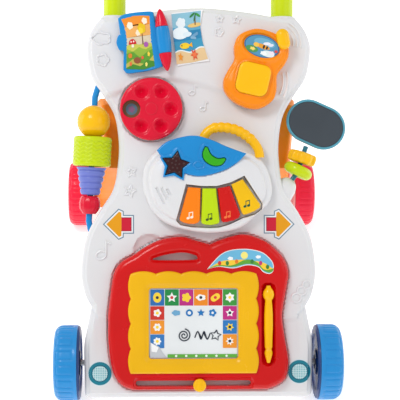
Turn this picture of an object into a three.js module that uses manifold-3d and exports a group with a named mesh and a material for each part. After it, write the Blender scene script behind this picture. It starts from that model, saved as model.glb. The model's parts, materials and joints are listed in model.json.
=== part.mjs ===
// Baby walker: a leaning activity panel on two front wheels, a U-shaped push handle,
// two rear legs with their own wheels, and the toys that sit on the panel.
// Millimetres, +Z up. The walker faces -Y; the child pushes from +Y.
import * as THREE from 'three';
import { mergeVertices } from 'three/addons/utils/BufferGeometryUtils.js';
import Module from 'manifold-3d';

const wasm = await Module();
wasm.setup();

// ---- driving dimensions ----
const GAP = 0.35;                 // between pieces that touch
const LEAN_DEG = 38;              // the panel's lean from vertical
const PANEL_FOOT_Z = 39;          // height of the panel's bottom front edge
const PANEL_DEPTH = 45;           // front face to open back
const WALL = 3;                   // moulded wall
const PANEL_ROUND = 6;            // rounding of the panel's front edge
const WHEEL_R = 50;
const WHEEL_W = 34;
const TRACK = 378;                // over the wheels
const WHEELBASE = 367;
const FRONT_AXLE_V = 42;          // front axle, measured up the panel
const AXLE_R = 4;
const RUN = 0.4;                  // running clearance on a radius
const HANDLE_R = 14.5;
const HANDLE_SPAN = 220;          // between the two posts
const HANDLE_TOP_V = 588;         // the crossbar's axis, measured up the panel
const HANDLE_BEND_R = 42;
const HANDLE_FOOT_V = 432;        // how deep the posts plug into the panel
const HANDLE_W = -22;             // the posts' axis behind the front face
const LEG_THICK = 24;
const LEG_TOP_X = 111;            // middle of each leg at the panel
const BEAD_ROD_R = 4;
const BEAD_W = -20;               // the bead rod's axis behind the front face
const DIAL_R = 40.5;
const DIAL_THICK = 10;
const SPINDLE_R = 9.3;
const SPINDLE_LENGTH = 80;
const SPINDLE_W = 9.8;            // hinge axis in front of the panel
const PAGE_THICK = 5;
const PIANO_THICK = 24;
const KEY_THICK = 9;
const BOARD_THICK = 18;
const STYLUS_R = 5.6;
const MIRROR_LONG = 80;
const MIRROR_SHORT = 57;
const MIRROR_THICK = 8;
const PHONE_THICK = 22;
const PIN_R = 2.5;
const LEG_SPREAD = TRACK / 2 - WHEEL_W - LEG_THICK / 2 - LEG_TOP_X; // how far a leg splays to its wheel
const WHEEL_SIDE_ROOM = LEG_SPREAD / 8; // between a rear wheel and its leg
const LEG_X = TRACK / 2 - WHEEL_W - WHEEL_SIDE_ROOM - LEG_THICK / 2; // middle of each leg at its wheel
const LEG_TOP_V = 385;            // where the legs meet the panel's back
const LEG_FOOT_V = 300;
const LEG_BOSS_R = 22;

// ---- geometry helpers ----
const vec2 = ([x, y]) => new THREE.Vector2(x, y);
const rad = THREE.MathUtils.degToRad;

function solid(geometry) {
  const bare = geometry.clone();
  for (const name of Object.keys(bare.attributes)) {
    if (name !== 'position') bare.deleteAttribute(name);
  }
  const merged = mergeVertices(bare, 1e-4);
  return new wasm.Manifold(new wasm.Mesh({
    numProp: 3,
    vertProperties: new Float32Array(merged.attributes.position.array),
    triVerts: new Uint32Array(merged.index.array),
  }));
}

function toGeometry(body) {
  const mesh = body.getMesh();
  const geometry = new THREE.BufferGeometry();
  geometry.setAttribute('position', new THREE.BufferAttribute(mesh.vertProperties, 3));
  geometry.setIndex(new THREE.BufferAttribute(mesh.triVerts, 1));
  return geometry;
}

const cut = (base, ...tools) => tools.reduce((left, tool) => left.subtract(tool), base);
const join = (base, ...parts) => parts.reduce((left, part) => left.add(part), base);

// A closed smooth outline through points.
function loop(points, steps = 72) {
  const curve = new THREE.CatmullRomCurve3(points.map(([x, y]) => new THREE.Vector3(x, y, 0)), true,
    'centripetal');
  return curve.getPoints(steps).slice(0, -1).map((p) => new THREE.Vector2(p.x, p.y));
}

// An open smooth run through points, both ends included.
const run = (points, steps) => new THREE.SplineCurve(points.map(vec2)).getPoints(steps);

const mirrored = (points) => points.map((p) => new THREE.Vector2(-p.x, p.y)).reverse();

// An outline moved inwards by d (outwards when d is negative); points run anticlockwise.
function inset(outline, d) {
  const n = outline.length;
  const ring = THREE.ShapeUtils.isClockWise(outline) ? [...outline].reverse() : outline;
  return ring.map((p, i) => {
    const before = ring[(i + n - 1) % n];
    const after = ring[(i + 1) % n];
    const a = new THREE.Vector2().subVectors(p, before).normalize();
    const b = new THREE.Vector2().subVectors(after, p).normalize();
    const normal = new THREE.Vector2(-(a.y + b.y), a.x + b.x).normalize();
    const stretch = Math.min(1.4, 1 / Math.max(0.5, normal.dot(new THREE.Vector2(-b.y, b.x))));
    return new THREE.Vector2(p.x + normal.x * d * stretch, p.y + normal.y * d * stretch);
  });
}

// An outline between two heights, its edges rounded by round.
function slab(outline, low, high, round = 0, steps = 2) {
  const shape = new THREE.Shape(outline);
  const settings = round > 0
    ? { bevelThickness: round, bevelSize: round, bevelOffset: -round, bevelSegments: steps }
    : { bevelEnabled: false };
  const geometry = new THREE.ExtrudeGeometry(shape, { depth: high - low - 2 * round, ...settings });
  return solid(geometry.translate(0, 0, low + round));
}

function roundedBox(width, height, corner, turnDeg = 0, cx = 0, cy = 0, perCorner = 5) {
  const points = [];
  for (const [sx, sy, from] of [[1, 1, 0], [-1, 1, 90], [-1, -1, 180], [1, -1, 270]]) {
    for (let i = 0; i <= perCorner; i += 1) {
      const a = rad(from + (90 * i) / perCorner);
      points.push(new THREE.Vector2(sx * (width / 2 - corner) + corner * Math.cos(a),
        sy * (height / 2 - corner) + corner * Math.sin(a)));
    }
  }
  const centre = new THREE.Vector2();
  return points.map((p) => p.rotateAround(centre, rad(turnDeg)).add(new THREE.Vector2(cx, cy)));
}

// Two half circles joined by straight sides.
function stadium(length, width, turnDeg, cx, cy, perHalf = 9) {
  const points = [];
  for (const [side, from] of [[1, -90], [-1, 90]]) {
    for (let i = 0; i <= perHalf; i += 1) {
      const a = rad(from + (180 * i) / perHalf);
      points.push(new THREE.Vector2(
        (side * (length - width) + width * Math.cos(a)) / 2,
        (width / 2) * Math.sin(a),
      ));
    }
  }
  const centre = new THREE.Vector2();
  return points.map((p) => p.rotateAround(centre, rad(turnDeg)).add(new THREE.Vector2(cx, cy)));
}

const disc = (r, cx = 0, cy = 0, sides = 32) => Array.from({ length: sides }, (_, i) => {
  const a = (2 * Math.PI * i) / sides;
  return new THREE.Vector2(cx + r * Math.cos(a), cy + r * Math.sin(a));
});

// A turned body: profile points are [radius, height] and the axis is +Z.
function turned(profile, sides = 22) {
  const geometry = new THREE.LatheGeometry(profile.map(vec2), sides);
  return solid(geometry.rotateX(Math.PI / 2));
}

const rod = (r, low, high, sides = 16) => turned([[0, low], [r, low], [r, high], [0, high]], sides);

// Turns a body whose axis is +Z to lie along a direction, with its zero at a point.
function along(body, point, direction) {
  const q = new THREE.Quaternion().setFromUnitVectors(new THREE.Vector3(0, 0, 1),
    new THREE.Vector3(...direction).normalize());
  const m = new THREE.Matrix4().compose(new THREE.Vector3(...point), q, new THREE.Vector3(1, 1, 1));
  return body.transform(m.elements);
}

const alongX = (body, x, y, z) => along(body, [x, y, z], [1, 0, 0]);
const boxSolid = (sx, sy, sz, cx, cy, cz) => solid(new THREE.BoxGeometry(sx, sy, sz).translate(cx, cy, cz));

// A round bar that follows a path.
function bar(path, r, sides, steps) {
  const shape = new THREE.Shape(disc(r, 0, 0, sides));
  return solid(new THREE.ExtrudeGeometry(shape, { steps, bevelEnabled: false, extrudePath: path }));
}

// ---- materials ----
const paint = (color, roughness = 0.3) => new THREE.MeshStandardMaterial({ color, roughness, metalness: 0 });
const WHITE = paint(0xe8e8ea, 0.25);
const LIME = paint(0xc8dc05);
const CRIMSON = paint(0xdc123c);
const ORANGE = paint(0xfb960c);
const YELLOW = paint(0xf5bc02);
const BLUE = paint(0x2596d4);
const RED = paint(0xd01014);
const TEAL = paint(0x2f8296);
const PURPLE = paint(0x6878c6);
const PINK = paint(0xf0aab0, 0.4);
const NAVY = paint(0x123c74, 0.4);
const PRINT = paint(0x8fb8d0, 0.45);
const GREEN = paint(0x25961b, 0.3);
const MAROON = paint(0x4a0408, 0.15);
const GREY = paint(0x4a4c50, 0.5);
const STEEL = new THREE.MeshStandardMaterial({ color: 0xb8bcc0, roughness: 0.3, metalness: 1 });
const MIRROR = new THREE.MeshStandardMaterial({ color: 0x8a9096, roughness: 0.05, metalness: 1 });

const root = new THREE.Group();
const walker = new THREE.Group();
const panel = new THREE.Group();
root.add(walker);
walker.add(panel);

function add(group, name, body, material) {
  const mesh = new THREE.Mesh(toGeometry(body), material);
  mesh.name = name;
  group.add(mesh);
}

// ---- the panel's own frame: x right, y up the panel, z out of its front face ----
const lean = rad(LEAN_DEG);
const UP = [0, Math.sin(lean), Math.cos(lean)];
const OUT = [0, -Math.cos(lean), Math.sin(lean)];
const frontAxleW = (WHEEL_R - PANEL_FOOT_Z - FRONT_AXLE_V * UP[2]) / OUT[2];
const footY = -WHEELBASE / 2 - FRONT_AXLE_V * UP[1] - frontAxleW * OUT[1];
panel.rotation.x = Math.PI / 2 - lean;
panel.position.set(0, footY, PANEL_FOOT_Z);

const fromPanel = (v, w) => [footY + v * UP[1] + w * OUT[1], PANEL_FOOT_Z + v * UP[2] + w * OUT[2]];

// ---- outlines on the panel ----
function silhouette() {
  const upper = run([[126, 495], [137, 482], [144, 467], [146, 450], [140, 418], [124, 393],
    [110, 367], [104.5, 334], [105.5, 303], [112, 270], [131, 240], [147, 207], [153, 165],
    [148.5, 136], [140, 119]], 32);
  const lower = run([[140, 119], [145, 92], [149, 70], [149, 46], [148, 8]], 8).slice(1);
  const side = [...upper, ...lower, new THREE.Vector2(146, 2), new THREE.Vector2(140, 0)];
  const top = run([[-126, 495], [-98, 497], [-60, 503], [0, 508], [60, 503], [98, 497], [126, 495]], 12);
  const right = [...top.slice(1, -1), ...side];
  return [...mirrored(side), ...right].reverse();
}

const boardOutline = () => [
  ...run([[-118, 108], [-114, 142], [-110, 164], [-101, 177], [-84, 187], [-71, 196], [-50, 206], [-23, 210],
    [-4, 205], [14, 200]], 18),
  ...run([[14, 200], [31, 207], [58, 213], [84, 205], [102, 191], [112, 178], [116, 162], [114, 147],
    [109, 118], [108, 104], [112, 75], [116, 50], [113, 28], [103, 18], [88, 12]], 24).slice(1),
  ...run([[-86, 12], [-99, 17], [-109, 29], [-115, 50], [-118, 80]], 8),
];

const phoneOutline = () => loop([[52, 471], [74, 479], [98, 473], [113, 463], [116, 447], [111, 433],
  [101, 419], [100, 400], [94, 385], [74, 375], [50, 381], [34, 395], [31, 411], [37, 425], [45, 439],
  [45, 456]], 40);

const pianoOutline = () => loop([[-63, 313], [-72, 295], [-72, 270], [-60, 243], [-38, 225], [7, 215],
  [49, 220], [75, 239], [92, 258], [93, 282], [82, 307], [62, 320], [30, 328], [-10, 333], [-46, 325]], 44);

const leafOutline = () => [
  ...run([[-55, 321], [-40, 333], [-10, 340], [14, 335], [35, 326], [60, 317]], 18),
  ...run([[60, 317], [49, 306], [30, 295], [1, 288], [-25, 294], [-47, 311], [-55, 321]], 22).slice(1, -1),
];

const pageOutline = () => [
  ...run([[-105, 492], [-97, 497], [-80, 500], [-63, 501], [-59, 499]], 8),
  ...run([[-47, 430], [-63, 425], [-80, 422], [-93, 421], [-98, 426]], 8),
  ...run([[-98, 436], [-98, 449], [-103, 451], [-107, 460], [-105, 469], [-102, 471]], 8),
];

const rightPictureOutline = () => [
  ...run([[-36, 500], [-16, 502], [5, 505]], 4),
  ...run([[5, 505], [2, 480], [6, 459], [14, 438]], 8).slice(1),
  ...run([[14, 438], [-8, 435], [-28, 431]], 4).slice(1),
];

// ---- where things are on the panel ----
const DIAL_AT = [-62, 375];
const SPINDLE_AT = [-46.2, 464];
const SPINDLE_TILT = rad(7.4);
const spindleDir = [-Math.sin(SPINDLE_TILT), Math.cos(SPINDLE_TILT), 0];
const PHONE_BUTTON_AT = [69, 413];
const STAR_AT = [-31, 302.5];
const MOON_AT = [20, 310];
const BEAD_LOW = [-143.8, 230];    // the straight run that the beads turn on
const BEAD_HIGH = [-135.8, 392];
const BALL_V = 360;
const BALL_R = 21.6;
const ROLLER_HALF = 19.5;
const BEAD_FEET = [[-136.5, 206], [-141.5, 218]];
const BEAD_HEADS = [[-132.5, 403], [-128.5, 414]];
const MIRROR_AT = [155, 357];
const MIRROR_TILT_DEG = -24;
const mirrorAxis = [-Math.sin(rad(MIRROR_TILT_DEG)), Math.cos(rad(MIRROR_TILT_DEG)), 0];
const MIRROR_NECK = 2;            // how far the mirror's neck stands out of its frame
const stalkEnd = MIRROR_SHORT / 2 + MIRROR_NECK + 1;
const STALK = [[114, 272], [122, 282], [131.5, 296], [137, 313],
  [MIRROR_AT[0] - mirrorAxis[0] * stalkEnd, MIRROR_AT[1] - mirrorAxis[1] * stalkEnd]];
const STALK_LEAN = [0.6, 0.8, 0];
const SOCKETS = [-HANDLE_SPAN / 2, HANDLE_SPAN / 2];
const beadDir = [BEAD_HIGH[0] - BEAD_LOW[0], BEAD_HIGH[1] - BEAD_LOW[1], 0];
const beadAt = (v) => {
  const t = (v - BEAD_LOW[1]) / beadDir[1];
  return [BEAD_LOW[0] + t * beadDir[0], v, BEAD_W];
};

// The rod's two ends bend in to the panel.
function beadRod(r, sides) {
  const at = ([x, y]) => new THREE.Vector3(x, y, BEAD_W);
  const path = new THREE.CurvePath();
  path.add(new THREE.CatmullRomCurve3([...BEAD_FEET, BEAD_LOW].map(at)));
  path.add(new THREE.LineCurve3(at(BEAD_LOW), at(BEAD_HIGH)));
  path.add(new THREE.CatmullRomCurve3([BEAD_HIGH, ...BEAD_HEADS].map(at)));
  return bar(path, r, sides, 28);
}

// ---- panel shells ----
const BOARD_POCKET = 4;           // depth of the board's seat in the panel
const BOARD_FLOOR = -BOARD_POCKET + GAP;
const DIAL_HUB_R = 6;

function frontPanel() {
  const outline = silhouette();
  const outer = slab(outline, -PANEL_DEPTH - PANEL_ROUND, 0, PANEL_ROUND, 2);
  const trim = boxSolid(500, 700, 40, 0, 250, -PANEL_DEPTH - 20);
  const cavity = slab(inset(outline, WALL), -PANEL_DEPTH - 1, -WALL);
  const pocket = slab(inset(boardOutline(), -0.8), -BOARD_POCKET, 10);
  const pocketFloor = slab(inset(boardOutline(), -0.8 - WALL), -BOARD_POCKET - WALL, -WALL + 1);
  const scoop = solid(new THREE.SphereGeometry(26, 16, 10).translate(-64, 192, 10));
  const sockets = SOCKETS.map((x) => along(rod(HANDLE_R + RUN, 0, 140), [x, HANDLE_FOOT_V - 2, HANDLE_W],
    [0, 1, 0]));
  const axleHole = alongX(rod(AXLE_R + RUN, -200, 200, 16), 0, FRONT_AXLE_V, frontAxleW);
  const hubHole = rod(DIAL_HUB_R + RUN, -10, 10).translate([...DIAL_AT, 0]);
  const bossShape = turned([[0, -12], [15, -12], [13, 0], [8, 8], [0, 8]]);
  const boss = along(bossShape, [...STALK[0], BEAD_W], STALK_LEAN);
  const shell = join(cut(outer, trim, cut(cavity, pocketFloor)), cut(boss, cavity));
  const dish = cut(scoop, slab(outline, -60, -WALL + 1.4));
  const rods = [beadRod(BEAD_ROD_R + GAP, 16), bar(stalkPath(), STALK_R + GAP, 10, 10)];
  return cut(shell, pocket, dish, ...sockets, ...rods, axleHole, hubHole);
}

function backCover() {
  const plate = slab(inset(silhouette(), WALL + GAP), -PANEL_DEPTH, -PANEL_DEPTH + WALL, 0);
  const stalkRoom = along(rod(16, -14, 10), [...STALK[0], BEAD_W], STALK_LEAN);
  return cut(plate, stalkRoom);
}

// The leg's side outline in the walker's Y-Z plane.
function legOutline() {
  const [topY, topZ] = fromPanel(LEG_TOP_V, -PANEL_DEPTH - GAP);
  const [footLegY, footLegZ] = fromPanel(LEG_FOOT_V, -PANEL_DEPTH - GAP);
  const axleY = WHEELBASE / 2;
  const boss = [60, 20, -20, -60, -100, -140].map((deg) => [axleY + LEG_BOSS_R * Math.cos(rad(deg)),
    WHEEL_R + LEG_BOSS_R * Math.sin(rad(deg))]);
  return [
    ...run([[topY, topZ], [topY + 52, topZ - 26], [topY + 102, topZ - 92], [axleY - 8, 130], boss[0]], 18),
    ...boss.slice(1).map(vec2),
    ...run([[axleY - 30, 62], [axleY - 62, 96], [footLegY + 66, footLegZ - 68], [footLegY, footLegZ]], 12),
  ];
}

function leg(side) {
  const splay = (LEG_X - LEG_TOP_X) / (WHEELBASE / 2 - fromPanel(LEG_TOP_V, 0)[0]);
  const body = slab(legOutline(), -LEG_THICK / 2, LEG_THICK / 2, 5, 2);
  const topY = fromPanel(LEG_TOP_V, 0)[0];
  const m = new THREE.Matrix4().set(
    side * splay, 0, 1, side * (LEG_TOP_X - splay * topY),
    1, 0, 0, 0,
    0, 1, 0, 0,
    0, 0, 0, 1,
  );
  const bore = alongX(rod(AXLE_R + GAP, -200, 200, 16), 0, WHEELBASE / 2, WHEEL_R);
  return cut(body.transform(m.elements), bore);
}

// ---- wheels ----
const HUB_RECESS_R = 30;
const CAP_R = 26;
const wheelProfile = () => [
  [AXLE_R + RUN, -WHEEL_W / 2], [9, -WHEEL_W / 2], [9, WHEEL_W / 2 - 14], [WHEEL_R - 5, WHEEL_W / 2 - 14],
  [WHEEL_R - 5, -WHEEL_W / 2 + 3.4], [WHEEL_R, -WHEEL_W / 2 + 3.4], [WHEEL_R, WHEEL_W / 2 - 12],
  [WHEEL_R - 3, WHEEL_W / 2 - 5], [WHEEL_R - 10, WHEEL_W / 2], [HUB_RECESS_R + 4, WHEEL_W / 2],
  [HUB_RECESS_R, WHEEL_W / 2 - 5], [AXLE_R + RUN, WHEEL_W / 2 - 5], [AXLE_R + RUN, -WHEEL_W / 2],
];
const innerDiscProfile = () => [
  [9 + GAP, -WHEEL_W / 2], [WHEEL_R - 8, -WHEEL_W / 2], [WHEEL_R - 3, -WHEEL_W / 2 + 1],
  [WHEEL_R - 1, -WHEEL_W / 2 + 3],
  [WHEEL_R - 5 - GAP, -WHEEL_W / 2 + 3], [WHEEL_R - 5 - GAP, -WHEEL_W / 2 + 6], [9 + GAP, -WHEEL_W / 2 + 3],
  [9 + GAP, -WHEEL_W / 2],
];
const capProfile = () => [
  [0, WHEEL_W / 2 - 4 + GAP], [CAP_R, WHEEL_W / 2 - 5 + GAP], [CAP_R, WHEEL_W / 2 - 3],
  [CAP_R - 6, WHEEL_W / 2 - 0.5], [0, WHEEL_W / 2],
];

function addWheel(name, side, y, colour, discColour, capColour) {
  const place = (body) => along(body, [side * (TRACK - WHEEL_W) / 2, y, WHEEL_R], [side, 0, 0]);
  add(walker, `${name}_wheel`, place(turned(wheelProfile(), 28)), colour);
  add(walker, `${name}_wheel_inner_disc`, place(turned(innerDiscProfile(), 24)), discColour);
  add(walker, `${name}_hub_cap`, place(turned(capProfile(), 18)), capColour);
}

// ---- handle ----
function handleBar() {
  const x = HANDLE_SPAN / 2;
  const at = (px, v) => new THREE.Vector3(px, v, HANDLE_W);
  const path = new THREE.CurvePath();
  path.add(new THREE.LineCurve3(at(-x, HANDLE_FOOT_V), at(-x, HANDLE_TOP_V - HANDLE_BEND_R)));
  path.add(new THREE.QuadraticBezierCurve3(at(-x, HANDLE_TOP_V - HANDLE_BEND_R), at(-x, HANDLE_TOP_V),
    at(-x + HANDLE_BEND_R, HANDLE_TOP_V)));
  path.add(new THREE.LineCurve3(at(-x + HANDLE_BEND_R, HANDLE_TOP_V), at(x - HANDLE_BEND_R, HANDLE_TOP_V)));
  path.add(new THREE.QuadraticBezierCurve3(at(x - HANDLE_BEND_R, HANDLE_TOP_V), at(x, HANDLE_TOP_V),
    at(x, HANDLE_TOP_V - HANDLE_BEND_R)));
  path.add(new THREE.LineCurve3(at(x, HANDLE_TOP_V - HANDLE_BEND_R), at(x, HANDLE_FOOT_V)));
  return bar(path, HANDLE_R, 12, 30);
}

// ---- book ----
const pageMiddle = SPINDLE_W - 3.3;
const spindleAt = (t, w = SPINDLE_W) => [
  SPINDLE_AT[0] + spindleDir[0] * t,
  SPINDLE_AT[1] + spindleDir[1] * t,
  w,
];
const BARREL_HALF = 17;
const spindleRod = (r, from, to, sides = 24) => along(rod(r, from, to, sides), spindleAt(0), spindleDir);

// The spindle is widest in the middle and tapers to rounded tips.
function spindleShape(from, to) {
  const steps = 5;
  const profile = Array.from({ length: steps + 1 }, (_, i) => {
    const t = from + ((to - from) * i) / steps;
    return [SPINDLE_R * (1 - (2 * t / (SPINDLE_LENGTH + 1)) ** 2) ** 0.62, t];
  });
  return along(turned([[0, from], ...profile, [0, to]], 24), spindleAt(0), spindleDir);
}

function bookPage() {
  const plate = slab(pageOutline(), pageMiddle - PAGE_THICK / 2, pageMiddle + PAGE_THICK / 2, 1.2, 1);
  const barrel = spindleShape(-BARREL_HALF, BARREL_HALF);
  const lowRoom = spindleRod(SPINDLE_R + 1, -60, -BARREL_HALF - 0.01);
  const highRoom = spindleRod(SPINDLE_R + 1, BARREL_HALF + 0.01, 60);
  const seat = slab(pictureOutline(-0.3), pageMiddle + PAGE_THICK / 2 - 1, pageMiddle + 10);
  const bore = spindleRod(PIN_R + RUN, -60, 60, 16);
  const page = join(cut(plate, lowRoom, highRoom), barrel);
  return cut(page, cut(seat, spindleRod(SPINDLE_R + 3, -60, 60)), bore);
}

const pictureOutline = (grow = 0) => inset([[-101, 490], [-62, 496], [-59, 470], [-52, 436],
  [-94, 428], [-93, 452], [-97, 472]].map(vec2).reverse(), -grow);

function pagePicture() {
  const top = pageMiddle + PAGE_THICK / 2;
  const sheet = slab(pictureOutline(-GAP), top - 0.7, top + 0.1);
  return cut(sheet, spindleRod(SPINDLE_R + 3 + GAP, -60, 60));
}

const CAP_FROM = BARREL_HALF + 0.6;
const FOOT_LENGTH = 15;
const FOOT_WIDTH = 7;

function spindleCap(side) {
  const ends = [side * CAP_FROM, (side * SPINDLE_LENGTH) / 2].sort((a, b) => a - b);
  const foot = boxSolid(FOOT_WIDTH, FOOT_LENGTH, SPINDLE_W, 0, 0, 0)
    .rotate([0, 0, THREE.MathUtils.radToDeg(SPINDLE_TILT)])
    .translate(spindleAt(side * (CAP_FROM + FOOT_LENGTH / 2), SPINDLE_W / 2 + GAP));
  return cut(join(spindleShape(...ends), foot), spindleRod(PIN_R + GAP / 2, -33, 33, 16));
}

// ---- phone ----
const phoneButton = (grow, low, high, round = 0) => slab(roundedBox(42 + 2 * grow, 41 + 2 * grow, 8.5, -12,
  ...PHONE_BUTTON_AT), low, high, round);
const phoneWindow = () => Array.from({ length: 20 }, (_, i) => {
  const a = (2 * Math.PI * i) / 20;
  return new THREE.Vector2(24.4 * Math.cos(a), 15.2 * Math.sin(a))
    .rotateAround(new THREE.Vector2(), rad(-16)).add(new THREE.Vector2(80, 455));
});
const antennaOutline = (grow = 0) => stadium(27 + 2 * grow, 17 + 2 * grow, 100, 107.6, 464.5, 6);

function phoneShell() {
  const outer = slab(phoneOutline(), -8, PHONE_THICK, 8, 2);
  const inner = slab(inset(phoneOutline(), WALL + 3), -9, PHONE_THICK - WALL - 2);
  const below = boxSolid(200, 300, 20, 70, 430, -10 + GAP);
  const antennaRoom = slab(antennaOutline(GAP), PHONE_THICK - 8, 40);
  const window = slab(phoneWindow(), PHONE_THICK - 0.8, 40);
  return cut(outer, inner, below, phoneButton(RUN, -10, 40), window, antennaRoom);
}

// ---- dial ----
const DIAL_PITCH_R = 25.6;
const DIMPLE_R = 11.5;
const dialSpot = (deg) => [
  DIAL_AT[0] + DIAL_PITCH_R * Math.cos(rad(deg)),
  DIAL_AT[1] + DIAL_PITCH_R * Math.sin(rad(deg)),
];
const DIAL_LOW = 2;

function dialWheel() {
  const base = turned([[0, DIAL_LOW], [DIAL_R, DIAL_LOW], [DIAL_R, DIAL_LOW + DIAL_THICK - 3],
    [DIAL_R - 3, DIAL_LOW + DIAL_THICK], [0, DIAL_LOW + DIAL_THICK]], 32).translate([...DIAL_AT, 0]);
  const dimples = [0, 60, 120, 240, 300].map((deg) => turned([[0, 0], [DIMPLE_R - 3, 0], [DIMPLE_R, 3],
    [DIMPLE_R, 20], [0, 20]], 12).translate([...dialSpot(deg), DIAL_LOW + DIAL_THICK - 6]));
  const window = rod(DIMPLE_R, -5, 30).translate([...dialSpot(180), 0]);
  const bore = rod(PIN_R + 2 + RUN, -5, 30, 20).translate([...DIAL_AT, 0]);
  return cut(base, ...dimples, window, bore);
}

function dialPivot() {
  const post = rod(DIAL_HUB_R, -8, DIAL_LOW - GAP).translate([...DIAL_AT, 0]);
  const pin = rod(PIN_R + 2, DIAL_LOW - GAP - 0.1, DIAL_LOW + DIAL_THICK + GAP, 20)
    .translate([...DIAL_AT, 0]);
  const head = turned([[0, 0], [8, 0], [6.5, 2.2], [0, 3]], 24)
    .translate([...DIAL_AT, DIAL_LOW + DIAL_THICK + GAP - 0.05]);
  return join(post, pin, head);
}

function dialPicture() {
  return cut(slab(disc(DIAL_R - 2, ...DIAL_AT, 40), GAP, DIAL_LOW - GAP), rod(DIAL_HUB_R + GAP, -5, 5)
    .translate([...DIAL_AT, 0]));
}

// ---- piano ----
const PIANO_BASE = 3;
const KEY_TOP_W = 22.2;           // the keys' top face
const keyFrom = PIANO_THICK - 12;
const KEYS = [
  {
    name: 'key_orange',
    colour: ORANGE,
    outline: [[-15, 274], [1.6, 273], [0.6, 231.5], [-1.6, 228.2], [-7, 226.4], [-14, 226.6],
      [-21, 228.4], [-25.2, 231], [-25.8, 234]],
  },
  {
    name: 'key_lime',
    colour: LIME,
    outline: [[3.4, 272.5], [21.4, 272.5], [26, 231], [24.6, 227.4], [19, 225.6], [13, 225],
      [7, 225.6], [2.6, 227.4], [1.9, 231]],
  },
  {
    name: 'key_red',
    colour: RED,
    outline: [[22.8, 272.5], [39, 275.6], [52.6, 238.5], [50.6, 234.6], [44, 231.2], [36, 229.2],
      [30, 228.6], [28, 230.8]],
  },
  {
    name: 'key_yellow',
    colour: YELLOW,
    outline: [[40.6, 277.5], [55.6, 284.4], [78.4, 251.5], [77.6, 247.4], [70, 242.6], [62, 239.4],
      [57, 238.2], [54.6, 240]],
  },
];
const keyBed = () => [[-17, 277], [3, 274.8], [22, 274.8], [40, 279.5], [57.5, 288], [81, 252], [80.2, 245.5],
  [72, 239.5], [56, 234.5], [40, 226.8], [26, 222.6], [13, 222], [-9.5, 222.9], [-24, 225.5],
  [-29.5, 231.5]].map(vec2);

function pianoShell() {
  const outer = slab(pianoOutline(), -6, PIANO_THICK, 6, 2);
  const inner = slab(inset(pianoOutline(), WALL), -7, PIANO_THICK - 7);
  const below = boxSolid(300, 300, 20, 0, 270, -10 + GAP);
  const keyWell = slab(keyBed(), keyFrom - 2, 60);
  const leafSeat = slab(inset(leafOutline(), -GAP), PIANO_THICK - 2, 60);
  const star = slab(starOutline(1.2), -1, 60);
  const moon = slab(moonOutline(1.2), -1, 60);
  const slots = [[-50, 263, 13], [-44.5, 265, 9], [-40, 267.5, 5]].map(([x, y, half]) => slab(
    roundedBox(3, 2 * half, 1.4, 28, x, y, 2), 0, 60));
  const handleRoom = handleTube(4.5 + GAP);
  return cut(outer, inner, below, keyWell, leafSeat, star, moon, ...slots, handleRoom);
}

function pianoBase() {
  const plate = slab(inset(pianoOutline(), WALL + GAP), 0.4, PIANO_BASE);
  return cut(plate, handleTube(4.5 + GAP));
}

function starOutline(grow = 0) {
  return Array.from({ length: 10 }, (_, i) => {
    const r = (i % 2 ? 9.5 : 18) + grow;
    const a = rad(81 + 36 * i);
    return new THREE.Vector2(STAR_AT[0] + r * Math.cos(a), STAR_AT[1] + r * Math.sin(a));
  });
}

const moonOutline = (grow = 0) => inset([
  ...run([[7, 325.5], [3.6, 316.5], [6.6, 307.5], [17, 301.4], [28, 302.6], [33.4, 309.4]], 16),
  ...run([[31.6, 311.2], [22.5, 310.6], [14.5, 315.6], [10, 324.6]], 10),
].reverse(), -grow);

function leafCover() {
  const leaf = slab(leafOutline(), PIANO_THICK - 2 + GAP, PIANO_THICK + 3, 1.5, 2);
  return cut(leaf, slab(starOutline(0.6), 0, 60), slab(moonOutline(0.6), 0, 60));
}

const lightButton = (outline) => slab(outline, PIANO_THICK - 9, PIANO_THICK + 4.5, 0.6, 1);

// The carrying handle's bar; its two feet end inside the piano's shell.
function handleTube(r) {
  const points = [[3, 326, 12], [7, 341, 12], [20, 350.5, 12], [44, 349, 12], [64, 338, 12], [76, 323, 12],
    [78, 306, 12]];
  const path = new THREE.CatmullRomCurve3(points.map((p) => new THREE.Vector3(...p)));
  return bar(path, r, 10, 20);
}

const pianoHandle = () => cut(handleTube(5.4), slab(inset(pianoOutline(), -0.4), -20, 60));

// ---- drawing board ----
const BOARD_TOP = BOARD_FLOOR + BOARD_THICK;
const windowOutline = (grow = 0) => roundedBox(113 + 2 * grow, 89 + 2 * grow, 3, 0, -7.5, 98.5, 2);
const FRAME_BOX = [-92, 34, 77, 166];
const SCALLOP = 3.6;

// The frame's outer edge: straight at the bottom, waved on its other three sides.
function scallopOutline() {
  const [x0, y0, x1, y1] = FRAME_BOX;
  const waves = (from, to, count, place) => Array.from({ length: count * 4 + 1 }, (_, i) => {
    const t = i / (count * 4);
    return place(from + (to - from) * t, SCALLOP * Math.abs(Math.sin(Math.PI * count * t)));
  });
  return [
    new THREE.Vector2(x0 + 12, y0), new THREE.Vector2(x1 - 12, y0), new THREE.Vector2(x1 - 4, y0 + 4),
    ...waves(y0 + 14, y1 - 12, 4, (y, h) => new THREE.Vector2(x1 - SCALLOP + h, y)),
    ...waves(x1 - 14, x0 + 14, 5, (x, h) => new THREE.Vector2(x, y1 - SCALLOP + h)),
    ...waves(y1 - 12, y0 + 14, 4, (y, h) => new THREE.Vector2(x0 + SCALLOP - h, y)),
    new THREE.Vector2(x0 + 4, y0 + 4),
  ];
}

const handleHole = () => [...run([[-59, 180], [-46, 186], [-23, 189.5], [-8, 187], [-3, 184]], 10),
  new THREE.Vector2(-8, 180)].reverse();
const SLOT_BOX = [151, 7.5];
const SLOT_AT = [-7.5, 20.5];
const STYLUS_AT = [89.3, 97];
const STYLUS_W = BOARD_TOP - 1;
const STYLUS_HALF = 50;

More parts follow.
